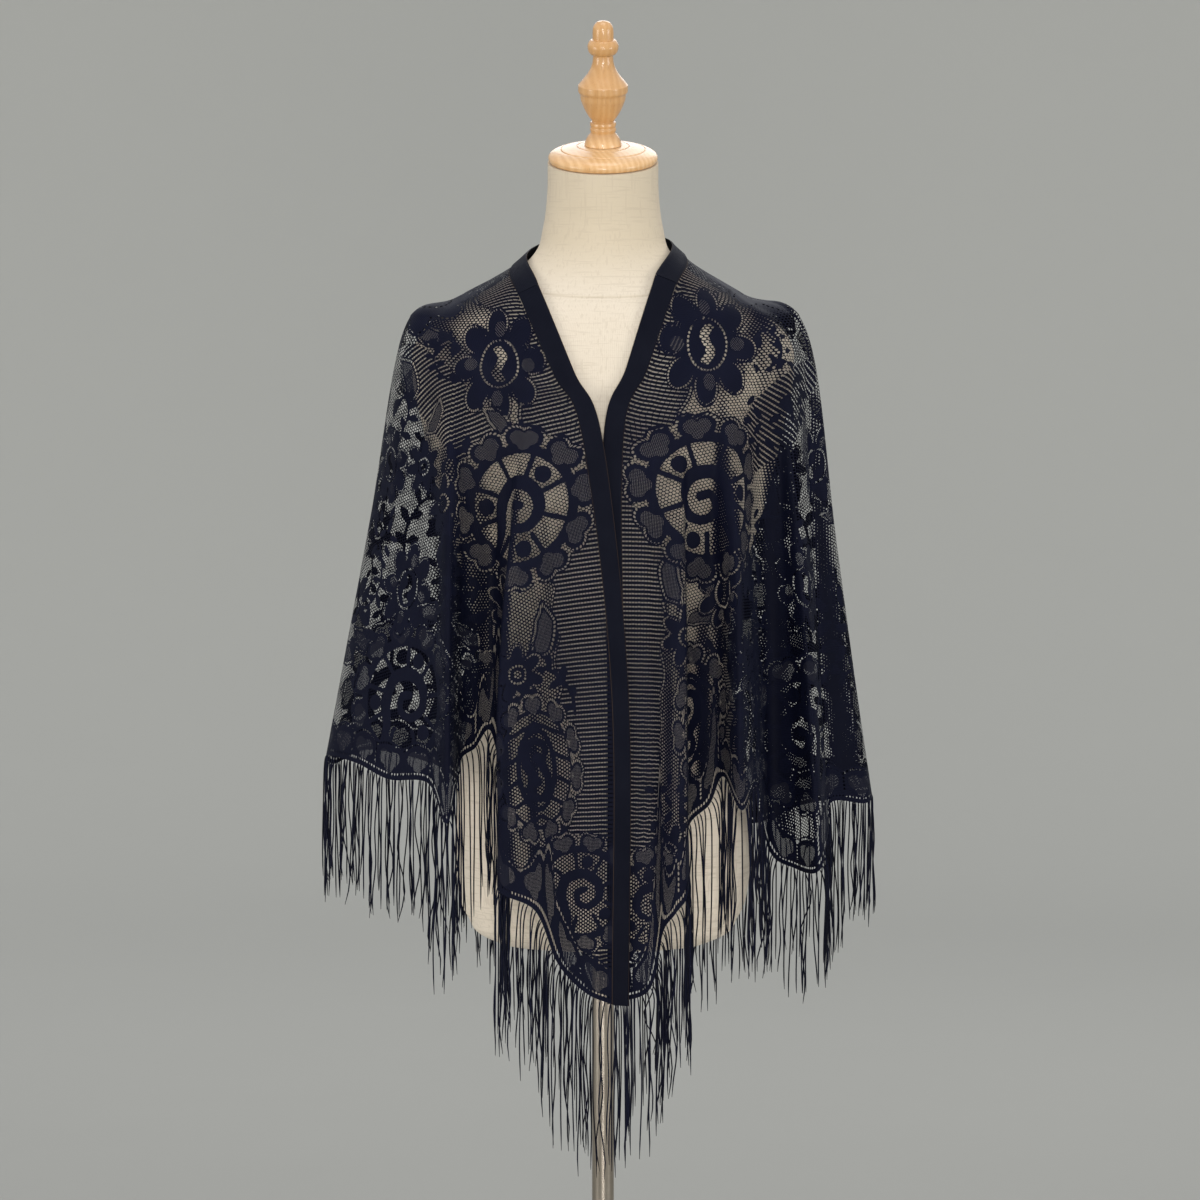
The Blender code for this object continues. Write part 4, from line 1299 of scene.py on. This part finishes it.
def strands(name, path):
    """Threads along paths: rings of a few points round each path point, closed at both ends.

    The rings stand square to the path, on the cross products of its way with a fixed leaning vector.
    """
    count, rings = path.shape[:2]
    way = unit(np.gradient(path, axis=1))
    side = unit(np.cross(way, np.array(RING_LEAN)))
    other = np.cross(way, side)
    turn = np.linspace(0, FULL_TURN, STRAND_SIDES, endpoint=False)
    taper = STRAND_RADIUS * np.interp(np.linspace(0, 1, rings), *zip(*STRAND_TAPER))
    ring = np.cos(turn)[:, None] * side[:, :, None] + np.sin(turn)[:, None] * other[:, :, None]
    points = path[:, :, None] + taper[None, :, None, None] * ring
    number = np.arange(count * rings * STRAND_SIDES).reshape(count, rings, STRAND_SIDES)
    following = np.roll(number, -1, axis=2)
    squares = np.stack([number[:, :-1], following[:, :-1], following[:, 1:], number[:, 1:]], axis=-1)
    ends = np.concatenate([number[:, 0, ::-1], number[:, -1]])
    run = running_length(path, 1)
    flat = np.stack(np.broadcast_arrays(turn[None, None, :] / FULL_TURN, run[:, :, None]), axis=-1)
    shade = np.repeat(np.random.default_rng(count).random(count), rings * STRAND_SIDES)
    faces = [squares.reshape(-1, 4), ends]
    return mesh_object(name, points, faces, materials["fringe"], [("along", flat)], [("shade", shade)])


def band(name, places, steps):
    """One stretch of the edge band: a thin closed shell on the cloth's surface, with round long edges.

    Across the band its thickness is the root of one less the eighth power of the way from its middle.
    """
    points = cloth_surface(places, steps)
    normals = outward(points)
    if len(places) > len(steps):
        points = np.swapaxes(points, 0, 1)[::-1]
        normals = np.swapaxes(normals, 0, 1)[::-1]
    width = len(points)
    across = np.linspace(-1, 1, width)
    height = BAND_THICKNESS * np.sqrt(1 - across**8)
    outer = points + normals * (BAND_LIFT + height[:, None, None])
    inner = points + normals * BAND_LIFT
    ring = np.concatenate([outer, inner[-2:0:-1]])
    columns, rows = ring.shape[:2]
    number = np.arange(columns * rows).reshape(columns, rows)
    first_squares, first_corners = end_faces(number[:, 0], width)
    last_squares, last_corners = end_faces(number[:, -1], width)
    run = running_length(points, 1).mean(axis=0)
    place = np.concatenate([across, across[-2:0:-1]]) * BAND_WIDTH / 2
    along = np.stack(np.broadcast_arrays(place[:, None], run[None, :]), axis=-1)
    piece = mesh_object(
        f"shawl_{name}",
        ring,
        [
            grid_corners(columns, rows, True),
            first_squares[:, ::-1],
            last_squares,
            first_corners[:, ::-1],
            last_corners,
        ],
        materials["band"],
        [("along", along), ("OFBake", grid_shares(columns, rows))],
        sharp=SHARP_ANGLE,
    )
    finished(piece, name)


def end_faces(ring, width):
    """Squares and corner triangles that close one end of a flat ring, between its two rows."""
    outer = ring[:width]
    inner = np.concatenate([outer[:1], ring[: width - 1 : -1], outer[-1:]])
    squares = np.stack([outer[1:-2], outer[2:-1], inner[2:-1], inner[1:-2]], axis=1)
    corners = np.array([[outer[0], outer[1], inner[1]], [outer[-2], outer[-1], inner[-2]]])
    return squares, corners


def steps_down(rows):
    """The steps of so many rows of the cloth: 0 at the seam of the neck band, 4 at the hem."""
    return np.interp(np.linspace(0, 1, rows), ROW_SHARES, np.arange(len(ROW_SHARES)))


def bands():
    """The edge band: down both fronts, and round the back of the neck between them."""
    down = steps_down(BAND_ROWS)
    across = np.linspace(0, 1 + BAND_OVERLAP, BAND_COLUMNS)
    band("band_front_left", across, down)
    band("band_front_right", LAST_FOLD - across[::-1], down)
    round_neck = np.linspace(1, LAST_FOLD - 1, BAND_ROWS)
    band("band_neck", round_neck, np.linspace(-1, BAND_OVERLAP, BAND_COLUMNS))


def torso():
    """The linen form: sections of half ovals in front and behind, closed at the top and the bottom.

    A shallow groove follows the neck's seam, a ring that rises from the front to the back by the sine
    of the turn. The groove's depth is a bell curve of the distance from the seam, and the neck leans
    forward under the cap.
    """
    heights = np.concatenate([
        np.linspace(NECK_TOP_Z, SEAM_TOP_Z, NECK_ROWS, endpoint=False),
        np.linspace(SEAM_TOP_Z, SEAM_BOTTOM_Z, SEAM_ROWS, endpoint=False),
        np.linspace(SEAM_BOTTOM_Z, TORSO_BOTTOM_Z, BODY_ROWS),
    ])
    sizes = form_sizes(heights)
    turn = np.linspace(0, FULL_TURN, TORSO_SIDES, endpoint=False)
    depth = np.where(np.sin(turn)[:, None] < 0, sizes[:, 1], sizes[:, 2])
    seam = SEAM_FRONT_Z + SEAM_RISE * (1 + np.sin(turn)) / 2
    away = (heights[None, :] - seam[:, None]) / SEAM_HALF_WIDTH
    inset = 1 - SEAM_DEPTH / SEAM_RADIUS * np.exp(-(away**2))
    x = sizes[:, 0] * np.cos(turn)[:, None] * inset
    y = depth * np.sin(turn)[:, None] * inset
    lean = math.tan(CAP_LEAN) * np.clip((heights - LEAN_START_Z) / (NECK_TOP_Z - LEAN_START_Z), 0, 1)
    points = np.stack([x, y, heights + lean * y], axis=-1)
    drawn_in = np.array([CLOSING_SHARE, CLOSING_SHARE, 0])
    top = points[:, :1] * drawn_in + np.array([0, 0, NECK_TOP_Z])
    bottom = points[:, -1:] * drawn_in + np.array([0, 0, TORSO_BOTTOM_Z])
    points = np.concatenate([top, points, bottom], axis=1)
    from_seam = np.pad(away, ((0, 0), (1, 1)), mode="edge") * SEAM_HALF_WIDTH / MM
    round_it = np.broadcast_to((turn / FULL_TURN)[:, None], from_seam.shape)
    layers = [("from_seam", from_seam), ("round", round_it)]
    piece = closed_round("form_linen_body", points, materials["linen"], layers, downward=True)
    return finished(piece, "form_torso")


def fan(ring):
    """Triangles that close a ring of point numbers."""
    return np.stack([np.full(len(ring) - 2, ring[0]), ring[1:-1], ring[2:]], axis=1)


def closed_round(name, points, skin, layers, downward=False):
    """A closed round mesh, from columns of points that run up its outside or down it, with two fans."""
    columns, rows = points.shape[:2]
    number = np.arange(columns * rows).reshape(columns, rows)
    faces = [grid_corners(columns, rows, True), fan(number[:, 0])[:, ::-1], fan(number[:, -1])]
    if downward:
        faces = [group[:, ::-1] for group in faces]
    return mesh_object(name, points, faces, skin, point_layers=layers, sharp=SHARP_ANGLE)


def turned(name, node, profile, foot, lean, skin):
    """A turned piece: its profile of heights and radii, made smooth, spun round an axis that may lean.

    The profile's slopes are the harmonic means of its steps on either side, or 0 where these turn back,
    so that it never swells past its own points. Each point keeps its upright place, for the grain.
    """
    profile = np.array(profile, float)[::-1] * MM
    stations = np.arange(len(profile))
    step = np.diff(profile, axis=0)
    turns_back = step[1:] * step[:-1] <= 0
    mean = 2 * step[1:] * step[:-1] / np.where(turns_back, 1, step[1:] + step[:-1])
    slopes = np.pad(np.where(turns_back, 0, mean), ((1, 1), (0, 0)))
    at = np.linspace(0, stations[-1], PROFILE_STEPS * stations[-1] + 1)
    height, radius = smooth(at, stations, profile, slopes).T
    radius = np.maximum(radius, AXIS_RADIUS)
    turn = np.linspace(0, FULL_TURN, TURNED_SIDES, endpoint=False)
    x = np.cos(turn)[:, None] * radius
    y = np.sin(turn)[:, None] * radius
    z = np.broadcast_to(height, x.shape) + foot
    upright = np.stack([x, y, z], axis=-1)
    sine = math.sin(lean)
    cosine = math.cos(lean)
    points = np.stack([x, y * cosine - z * sine, z * cosine + y * sine], axis=-1)
    points[..., 2] += NECK_TOP_Z if lean else 0
    return finished(closed_round(name, points, skin, [("upright", upright)]), node)


def form_pieces():
    """The dress form's hard pieces: the neck cap and finial of wood, and the pole and base of metal."""
    wood = materials["wood"]
    metal = materials["metal"]
    on_cap = CAP_THICKNESS + 2 * SEAM_GAP
    turned("form_wood_cap", "form_neck_cap", CAP, SEAM_GAP, CAP_LEAN, wood)
    turned("form_wood_finial", "form_finial", FINIAL, on_cap, CAP_LEAN, wood)
    turned("form_metal_base", "form_base", BASE, 0, 0, metal)
    turned("form_metal_pole", "form_pole", pole_profile(), 0, 0, metal)


def pole_profile():
    """The pole's heights and radii in millimetres, top to bottom: a tube with a bevel at each end."""
    top = (TORSO_BOTTOM_Z - SEAM_GAP) / MM
    bottom = (SOCKET_HEIGHT + SEAM_GAP) / MM
    radius = POLE_RADIUS / MM
    upper = [(top, 0), (top, radius - POLE_BEVEL), (top - POLE_BEVEL, radius)]
    tube = [(z, radius) for z in np.linspace(top - 1, bottom + 1, POLE_RINGS)]
    return upper + tube + [(bottom + POLE_BEVEL, radius), (bottom, radius - POLE_BEVEL), (bottom, 0)]


class Socket:
    """An output of a shader node. Sums, products and the like of values add their Math nodes."""

    def __init__(self, tree, output):
        self.tree = tree
        self.output = output

    def node(self, kind, settings, sockets, output=0):
        """Adds a node of a kind: its settings first, then the values or links of its sockets."""
        made = self.tree.nodes.new(f"ShaderNode{kind}")
        for name, value in settings.items():
            setattr(made, name, value)
        for name, value in sockets.items():
            if isinstance(value, Socket):
                self.tree.links.new(value.output, made.inputs[name])
            else:
                made.inputs[name].default_value = value
        return Socket(self.tree, made.outputs[output])

    def maths(self, operation, *values):
        """A Math node of an operation on values."""
        return self.node("Math", {"operation": operation}, dict(enumerate(values)))

    def __add__(self, other):
        return self.maths("ADD", self, other)

    __radd__ = __add__

    def __sub__(self, other):
        return self.maths("SUBTRACT", self, other)

    def __rsub__(self, other):
        return self.maths("SUBTRACT", other, self)

    def __mul__(self, other):
        return self.maths("MULTIPLY", self, other)

    __rmul__ = __mul__

    def __truediv__(self, other):
        return self.maths("DIVIDE", self, other)

    def __abs__(self):
        return self.maths("ABSOLUTE", self)

    def __lt__(self, other):
        return self.maths("LESS_THAN", self, other)

    def __gt__(self, other):
        return self.maths("GREATER_THAN", self, other)

    def least(self, other):
        """The lesser of two values."""
        return self.maths("MINIMUM", self, other)

    def most(self, other):
        """The greater of two values."""
        return self.maths("MAXIMUM", self, other)

    def squared(self):
        """A value times itself."""
        return self.maths("MULTIPLY", self, self)

    def root(self):
        """The square root of a value."""
        return self.maths("SQRT", self)

    def choose(self, without, with_it):
        """One value where this is 0, and another where it is 1."""
        return self.node("Mix", {}, {0: self, 2: without, 3: with_it})

    def wave(self):
        """The sine of a value, from -1 to 1."""
        return self.maths("SINE", self)

    def ripple(self):
        """The sine of a value, brought to 0 to 1."""
        return self.wave() * 0.5 + 0.5

    def off_middle(self):
        """How far a value is from the middle of its unit cell, from -0.5 to 0.5."""
        return self.maths("FRACT", self) - 0.5

    def between(self, low, high):
        """A value's share of the way from low to high, kept from 0 to 1 and eased at both ends."""
        settings = {"interpolation_type": "SMOOTHSTEP"}
        return self.node("MapRange", settings, {"Value": self, "From Min": low, "From Max": high})

    def part(self, axis):
        """One of the three parts of a vector."""
        return self.node("SeparateXYZ", {}, {0: self}, "XYZ".index(axis))

    def stretched(self, *scale):
        """A vector's parts times a scale for each."""
        return self.node("VectorMath", {"operation": "MULTIPLY"}, {0: self, 1: scale})

    def noise(self, scale, detail=2.0, roughness=0.5):
        """Cloudy values from 0 to 1 at a place, so many to the metre."""
        sockets = {"Vector": self, "Scale": scale, "Detail": detail, "Roughness": roughness}
        return self.node("TexNoise", {}, sockets, "Fac")

    def mixed(self, first, second):
        """A colour between two, by this share."""
        return self.node("Mix", {"data_type": "RGBA"}, {0: self, 6: first, 7: second}, 2)

    def raised(self, distance, strength=1.0):
        """A Bump node from this height, which is 1 for the distance in metres."""
        return self.node("Bump", {}, {"Height": self, "Distance": distance, "Strength": strength})


def new_material(name, constants):
    """A Principled material with its constant sockets set, a start for its nodes, and the place on it."""
    made = bpy.data.materials.new(name)
    made.use_nodes = True
    shader = made.node_tree.nodes["Principled BSDF"]
    for title, value in constants.items():
        shader.inputs[title].default_value = value
    start = Socket(made.node_tree, None)
    return made, start, start.node("TexCoord", {}, {}, "Object")


def feed(made, sockets):
    """Links what changes over a surface to the shader of a material, and gives the material back."""
    shader = made.node_tree.nodes["Principled BSDF"]
    for title, value in sockets.items():
        made.node_tree.links.new(value.output, shader.inputs[title])
    return made


def named(start, title, output="Fac"):
    """A value or vector kept with the mesh."""
    return start.node("Attribute", {"attribute_name": title}, {}, output)


def on_map(start, title):
    """The two parts of a piece's own UV map, whose units are metres."""
    flat = start.node("UVMap", {"uv_map": title}, {})
    return flat.part("X"), flat.part("Y")


def cell_distance(across, down, wide, high):
    """Distance in millimetres from the middle of the nearest cell of a lattice of cells."""
    return ((across.off_middle() * wide).squared() + (down.off_middle() * high).squared()).root()


def lace_material():
    """Navy knitted lace: holes cut by Alpha where the fields ask for net, ladder and eyelets.

    Net holes stand on a lattice with a second one half a cell over, and a hole is where the distance to
    the nearer lattice point is under its radius. Close knit has a fine slanting rib.
    """
    made, start, place = new_material("navy_lace", NAVY_SHEEN)
    u, v = [part * TO_MM for part in on_map(start, "flat")]
    titles = ("solid", "sheer", "bead", "beat", "ladder", "gather")
    knit, sheer, bead, beat, ladder, gather = [named(start, title) for title in titles]
    wander = place.noise(45.0, 1.0) - 0.5
    radius = (wander * 0.4 + NET_RADIUS) * (1 - gather * 0.95)
    one = cell_distance(u / NET_WIDE, v / NET_HIGH, NET_WIDE, NET_HIGH)
    two = cell_distance(u / NET_WIDE + 0.5, v / NET_HIGH + 0.5, NET_WIDE, NET_HIGH)
    net_hole = one.least(two) < radius
    bar = abs((u / LADDER_PITCH).off_middle()) < LADDER_OPEN * (1 - gather * 0.5)
    cross = abs((v / LADDER_CROSS).off_middle()) < LADDER_CROSS_OPEN
    ladder_hole = bar * cross
    in_ladder = ladder < 0
    open_net = net_hole * (1 - in_ladder) + ladder_hole * in_ladder
    eyelet = ((beat.off_middle() * BEAD_PITCH).squared() + bead.squared()).root() < EYELET_RADIUS
    knitted = knit < 0
    thin = (sheer < 0) * knitted
    fine = cell_distance(u / SHEER_PITCH, v / SHEER_PITCH, SHEER_PITCH, SHEER_PITCH) < SHEER_RADIUS
    cover = knitted.choose(1 - open_net, 1 - thin * fine)
    cover = cover * (1 - eyelet * knitted)
    rib = ((u * 0.8 + v) * FULL_TURN / RIB_PITCH).ripple()
    yarn = ((v + u * 0.25) * FULL_TURN / YARN_PITCH).ripple()
    rim = knit.between(-2.2, -0.2)
    cloud = place.noise(28.0, 3.0)
    shade = (cloud - 0.5) * 0.5 + rib * 0.25 * knitted + 0.3
    dark = shade.mixed(NAVY_DARK, NAVY)
    pale = (thin * 0.75).mixed(dark, NAVY_SHEER)
    relief = knitted * (rib * 0.35 + 0.5 - rim * 0.35) + yarn * 0.12 - thin * 0.3
    return feed(
        made,
        {
            "Base Color": pale,
            "Roughness": 0.62 - shade * 0.16,
            "Alpha": cover,
            "Normal": relief.raised(0.0005, 0.7),
        },
    )


def band_material():
    """Navy close knit: fine ribs along the band, fine rows across it, and a painted tan highlight along
    both long edges.
    """
    made, start, place = new_material("navy_close_knit", NAVY_SHEEN)
    across, run = [part * TO_MM for part in on_map(start, "along")]
    ribs = (across * FULL_TURN / BAND_RIB_PITCH).ripple()
    rows = ((run + abs(across) * 0.4) * FULL_TURN / BAND_ROW_PITCH).ripple()
    cloud = place.noise(30.0, 3.0)
    # painted highlight: a tan line along both long edges of the band
    edge = abs(across).between(*BAND_HIGHLIGHT_SPAN)
    dark = (cloud * 0.8 + ribs * 0.2).mixed(NAVY_DARK, NAVY_BAND)
    return feed(
        made,
        {
            "Base Color": (edge * 0.35).mixed(dark, TAN_EDGE_HIGHLIGHT),
            "Roughness": 0.66 - ribs * 0.12,
            "Normal": (ribs * 0.6 + rows * 0.4).raised(0.0003, 0.7),
        },
    )


def fringe_material():
    """Navy twisted thread: a slanting ply round each strand, and strands a little lighter or darker."""
    constants = {**NAVY_SHEEN, "Specular IOR Level": 0.06}
    made, start, _ = new_material("navy_twisted_thread", constants)
    turn, run = on_map(start, "along")
    shade = named(start, "shade")
    ply = ((turn * PLIES + run * PLY_TURNS) * FULL_TURN).ripple()
    dark = (shade * 0.7 + ply * 0.3).mixed(NAVY_DARK, NAVY)
    return feed(
        made,
        {"Base Color": dark, "Roughness": 0.6 - ply * 0.15, "Normal": ply.raised(0.0002, 0.6)},
    )


def linen_material():
    """Cream linen: crossing threads with slubs, faint stains, a pressed seam round the neck, painted
    light that lightens the hips, and painted shade that darkens the neck under the cap.
    """
    constants = {"Sheen Weight": 0.08, "Sheen Roughness": 0.5}
    made, start, place = new_material("cream_linen", constants)
    around = named(start, "round")
    from_seam = named(start, "from_seam")
    upright = place.part("Z")
    warp_wander = (place.noise(9.0) - 0.5) * WEAVE_WANDER
    weft_wander = (place.noise(11.0) - 0.5) * WEAVE_WANDER
    warp = (around * WARP_THREADS * FULL_TURN + warp_wander).ripple()
    weft = (upright * TO_MM * FULL_TURN / WEFT_PITCH + weft_wander).ripple()
    slub_down = place.stretched(1, 1, 0.05).noise(420.0, 2.0)
    slub_across = place.stretched(0.06, 0.06, 1).noise(520.0, 2.0)
    cloud = place.noise(7.0, 4.0, 0.6)
    seam = 1 - abs(from_seam).between(0.2, 1.5)
    on_line = 1 - abs(abs(from_seam) - STITCH_LINE).between(0.3, 0.7)
    stitch = ((around * STITCHES * FULL_TURN).wave() > 0.1) * on_line
    weave = warp.most(weft)
    light = weave * 0.35 + slub_down * 0.35 + slub_across * 0.3
    cloth = light.between(0.25, 0.75).mixed(LINEN_DARK, LINEN)
    stains_and_painted_light = (cloud.between(0.35, 0.75) * 0.35).mixed(cloth, LINEN_WARM)
    # painted light: the linen turns lighter below the waist, standing in for the stronger light on the
    # hips
    stains_and_painted_light = (upright.between(0.97, 0.85) * (0.8 + slub_down * 0.2)).mixed(stains_and_painted_light, LINEN_PAINTED_HIP_LIGHT)
    # painted shade: the neck's linen is darker above the seam, standing in for the shade under the cap
    neck_painted_shade = (light.between(0.3, 0.7) * 0.35).mixed(LINEN_PAINTED_NECK_SHADE, LINEN_DARK)
    stains_and_painted_light = upright.between(1.33, 1.40).mixed(stains_and_painted_light, neck_painted_shade)
    streak = slub_down.between(0.54, 0.66).most(slub_across.between(0.54, 0.66))
    sewn = (seam * 0.32 + stitch * 0.12 + streak * 0.28).mixed(stains_and_painted_light, LINEN_SEAM)
    relief = weave * 0.5 + slub_down * 0.3 + slub_across * 0.3 + stitch * 0.5
    return feed(
        made,
        {
            "Base Color": sewn,
            "Roughness": 0.93 - light * 0.12,
            "Normal": relief.raised(0.00025, 0.6),
        },
    )


def wood_material():
    """Honey wood under satin varnish: long rings of grain and fine pores, deeper up the finial."""
    constants = {"Coat Roughness": 0.16, "Coat IOR": 1.5, "Coat Weight": 0.6}
    made, start, place = new_material("honey_wood", constants)
    grain = named(start, "upright", "Vector")
    bent = grain.stretched(1, 1, 0.16)
    wander = bent.noise(28.0, 3.0)
    side = grain.part("X") * 0.9 + grain.part("Y") * 0.35 + grain.part("Z") * 0.06
    rings = ((side * 330 + wander * 5.5) * FULL_TURN / 2).ripple()
    pores = grain.stretched(1, 1, 0.04).noise(900.0, 2.0)
    broad = grain.stretched(1, 1, 0.5).noise(24.0, 2.0)
    streak = (rings * 0.3 + broad * 0.7).between(0.2, 0.85)
    finial = place.part("Z").between(1.487, 1.497)
    wood = (finial * (0.95 - streak * 0.35)).mixed(streak.mixed(WOOD_DARK, WOOD_LIGHT), WOOD_DEEP)
    pored = (pores.between(0.56, 0.72) * 0.3).mixed(wood, WOOD_PORE)
    return feed(
        made,
        {
            "Base Color": pored,
            "Roughness": 0.36 + rings * 0.1,
            "Normal": (rings * 0.3 - pores * 0.5).raised(0.00015, 0.4),
        },
    )


def metal_material():
    """Pale champagne metal, satin: brushed rings round it, faint spots and a soft cloud in its gloss."""
    made, _, place = new_material("champagne_metal", {"Metallic": 1.0})
    brushed = place.stretched(0.02, 0.02, 1).noise(1500.0, 2.0)
    cloud = place.noise(14.0, 3.0)
    spots = place.noise(160.0, 2.0).between(0.66, 0.74)
    shade = (brushed * 0.4 + cloud * 0.6).mixed(METAL_DARK, METAL_LIGHT)
    return feed(
        made,
        {
            "Base Color": (spots * 0.25).mixed(shade, METAL_SPOT),
            "Roughness": 0.24 + brushed * 0.1 + cloud * 0.08 + spots * 0.15,
            "Normal": brushed.raised(0.00004, 0.5),
        },
    )


def studio_material():
    """Plain pale paper, lighter outward and up the wall, where less light falls, with a faint mottle."""
    made, _, place = new_material("studio_paper", {"Roughness": 0.95})
    from_middle = (place.part("X").squared() + place.part("Y").squared()).root()
    share = from_middle.between(1.2, 6.6) * PAPER_WALL + place.part("Z") * PAPER_RISE
    cloud = place.noise(3.0, 3.0) - 0.5
    return feed(made, {"Base Color": (share + cloud * 0.04).mixed(PAPER_LOW, PAPER_HIGH)})


def studio():
    """The studio bowl: a flat round floor, a wide cove that is a quarter circle, and a round wall."""
    cove = np.linspace(0, math.pi / 2, COVE_RINGS)
    floor = np.zeros(len(STUDIO_RINGS))
    radius = np.concatenate([STUDIO_RINGS, STUDIO_FLOOR + STUDIO_COVE * np.sin(cove)])
    height = np.concatenate([floor, STUDIO_COVE * (1 - np.cos(cove))])
    radius = np.append(radius, radius[-1])
    height = np.append(height, STUDIO_HEIGHT)
    turn = np.linspace(0, FULL_TURN, STUDIO_SIDES, endpoint=False)
    x = np.cos(turn)[:, None] * radius
    y = np.sin(turn)[:, None] * radius
    points = np.stack([x, y, np.broadcast_to(height, x.shape)], axis=-1)
    centre = fan(np.arange(x.size).reshape(x.shape)[:, 0])
    faces = [grid_corners(*x.shape, True)[:, ::-1], centre]
    mesh_object("studio_bowl", points, faces, materials["paper"])


def light(name, place, size, power, colour, cone):
    """A soft light that faces the middle of the shawl: a square one, or a round one kept to a cone."""
    if cone:
        lamp = bpy.data.lights.new(name, "SPOT")
        lamp.shadow_soft_size = size / 2
        lamp.spot_size = cone
        lamp.spot_blend = 1.0
    else:
        lamp = bpy.data.lights.new(name, "AREA")
        lamp.size = size
    lamp.energy = power
    lamp.color = colour
    made = bpy.data.objects.new(name, lamp)
    made.location = place
    aim = mathutils.Vector((0, 0, SHAWL_MIDDLE_Z)) - made.location
    made.rotation_euler = aim.to_track_quat("-Z", "Y").to_euler()
    made.visible_camera = False
    bpy.context.scene.collection.objects.link(made)


def lights():
    """Soft lights: two in front, high and low, one at each side, one behind and one above. A pale sky."""
    for row in LIGHTS:
        light(*row)
    world = bpy.data.worlds.new("pale_sky")
    world.use_nodes = True
    sky = world.node_tree.nodes["Background"]
    sky.inputs["Color"].default_value = SKY
    sky.inputs["Strength"].default_value = SKY_STRENGTH
    bpy.context.scene.world = world


def camera():
    """The camera: level with the chest, a little above it, in front."""
    lens = bpy.data.cameras.new("camera")
    lens.sensor_width = SENSOR_WIDTH
    lens.lens = SENSOR_WIDTH * CAMERA_DISTANCE / VIEW_WIDTH
    lens.clip_end = SIGHT
    made = bpy.data.objects.new("camera", lens)
    across, height = CAMERA_AIM
    rise = CAMERA_DISTANCE * math.sin(CAMERA_RISE)
    made.location = (across, -CAMERA_DISTANCE * math.cos(CAMERA_RISE), height + rise)
    made.rotation_euler = (math.pi / 2 - CAMERA_RISE, 0, 0)
    bpy.context.scene.collection.objects.link(made)
    bpy.context.scene.camera = made


def build():
    """All the pieces: the form, then the cloth on it, its bands and its fringes."""
    body = torso()
    form_pieces()
    places = np.linspace(1, LAST_FOLD - 1, (LAST_FOLD - 2) * COLUMNS_PER_FOLD + 1)
    steps = steps_down(ROWS + 1)
    points = cloth_surface(places, steps)
    flat = flat_cut(points, places)
    cloth = {
        "points": points,
        "flat": flat,
        "slopes": flat_slopes(points, flat),
        "normals": outward(points),
        "places": places,
        "steps": steps,
    }
    lace_stretches(cloth, lace_fields(cloth))
    bands()


materials = {
    "lace": lace_material(),
    "band": band_material(),
    "fringe": fringe_material(),
    "linen": linen_material(),
    "wood": wood_material(),
    "metal": metal_material(),
    "paper": studio_material(),
}
build()
studio()
lights()
camera()
bpy.context.scene.view_settings.view_transform = "Standard"
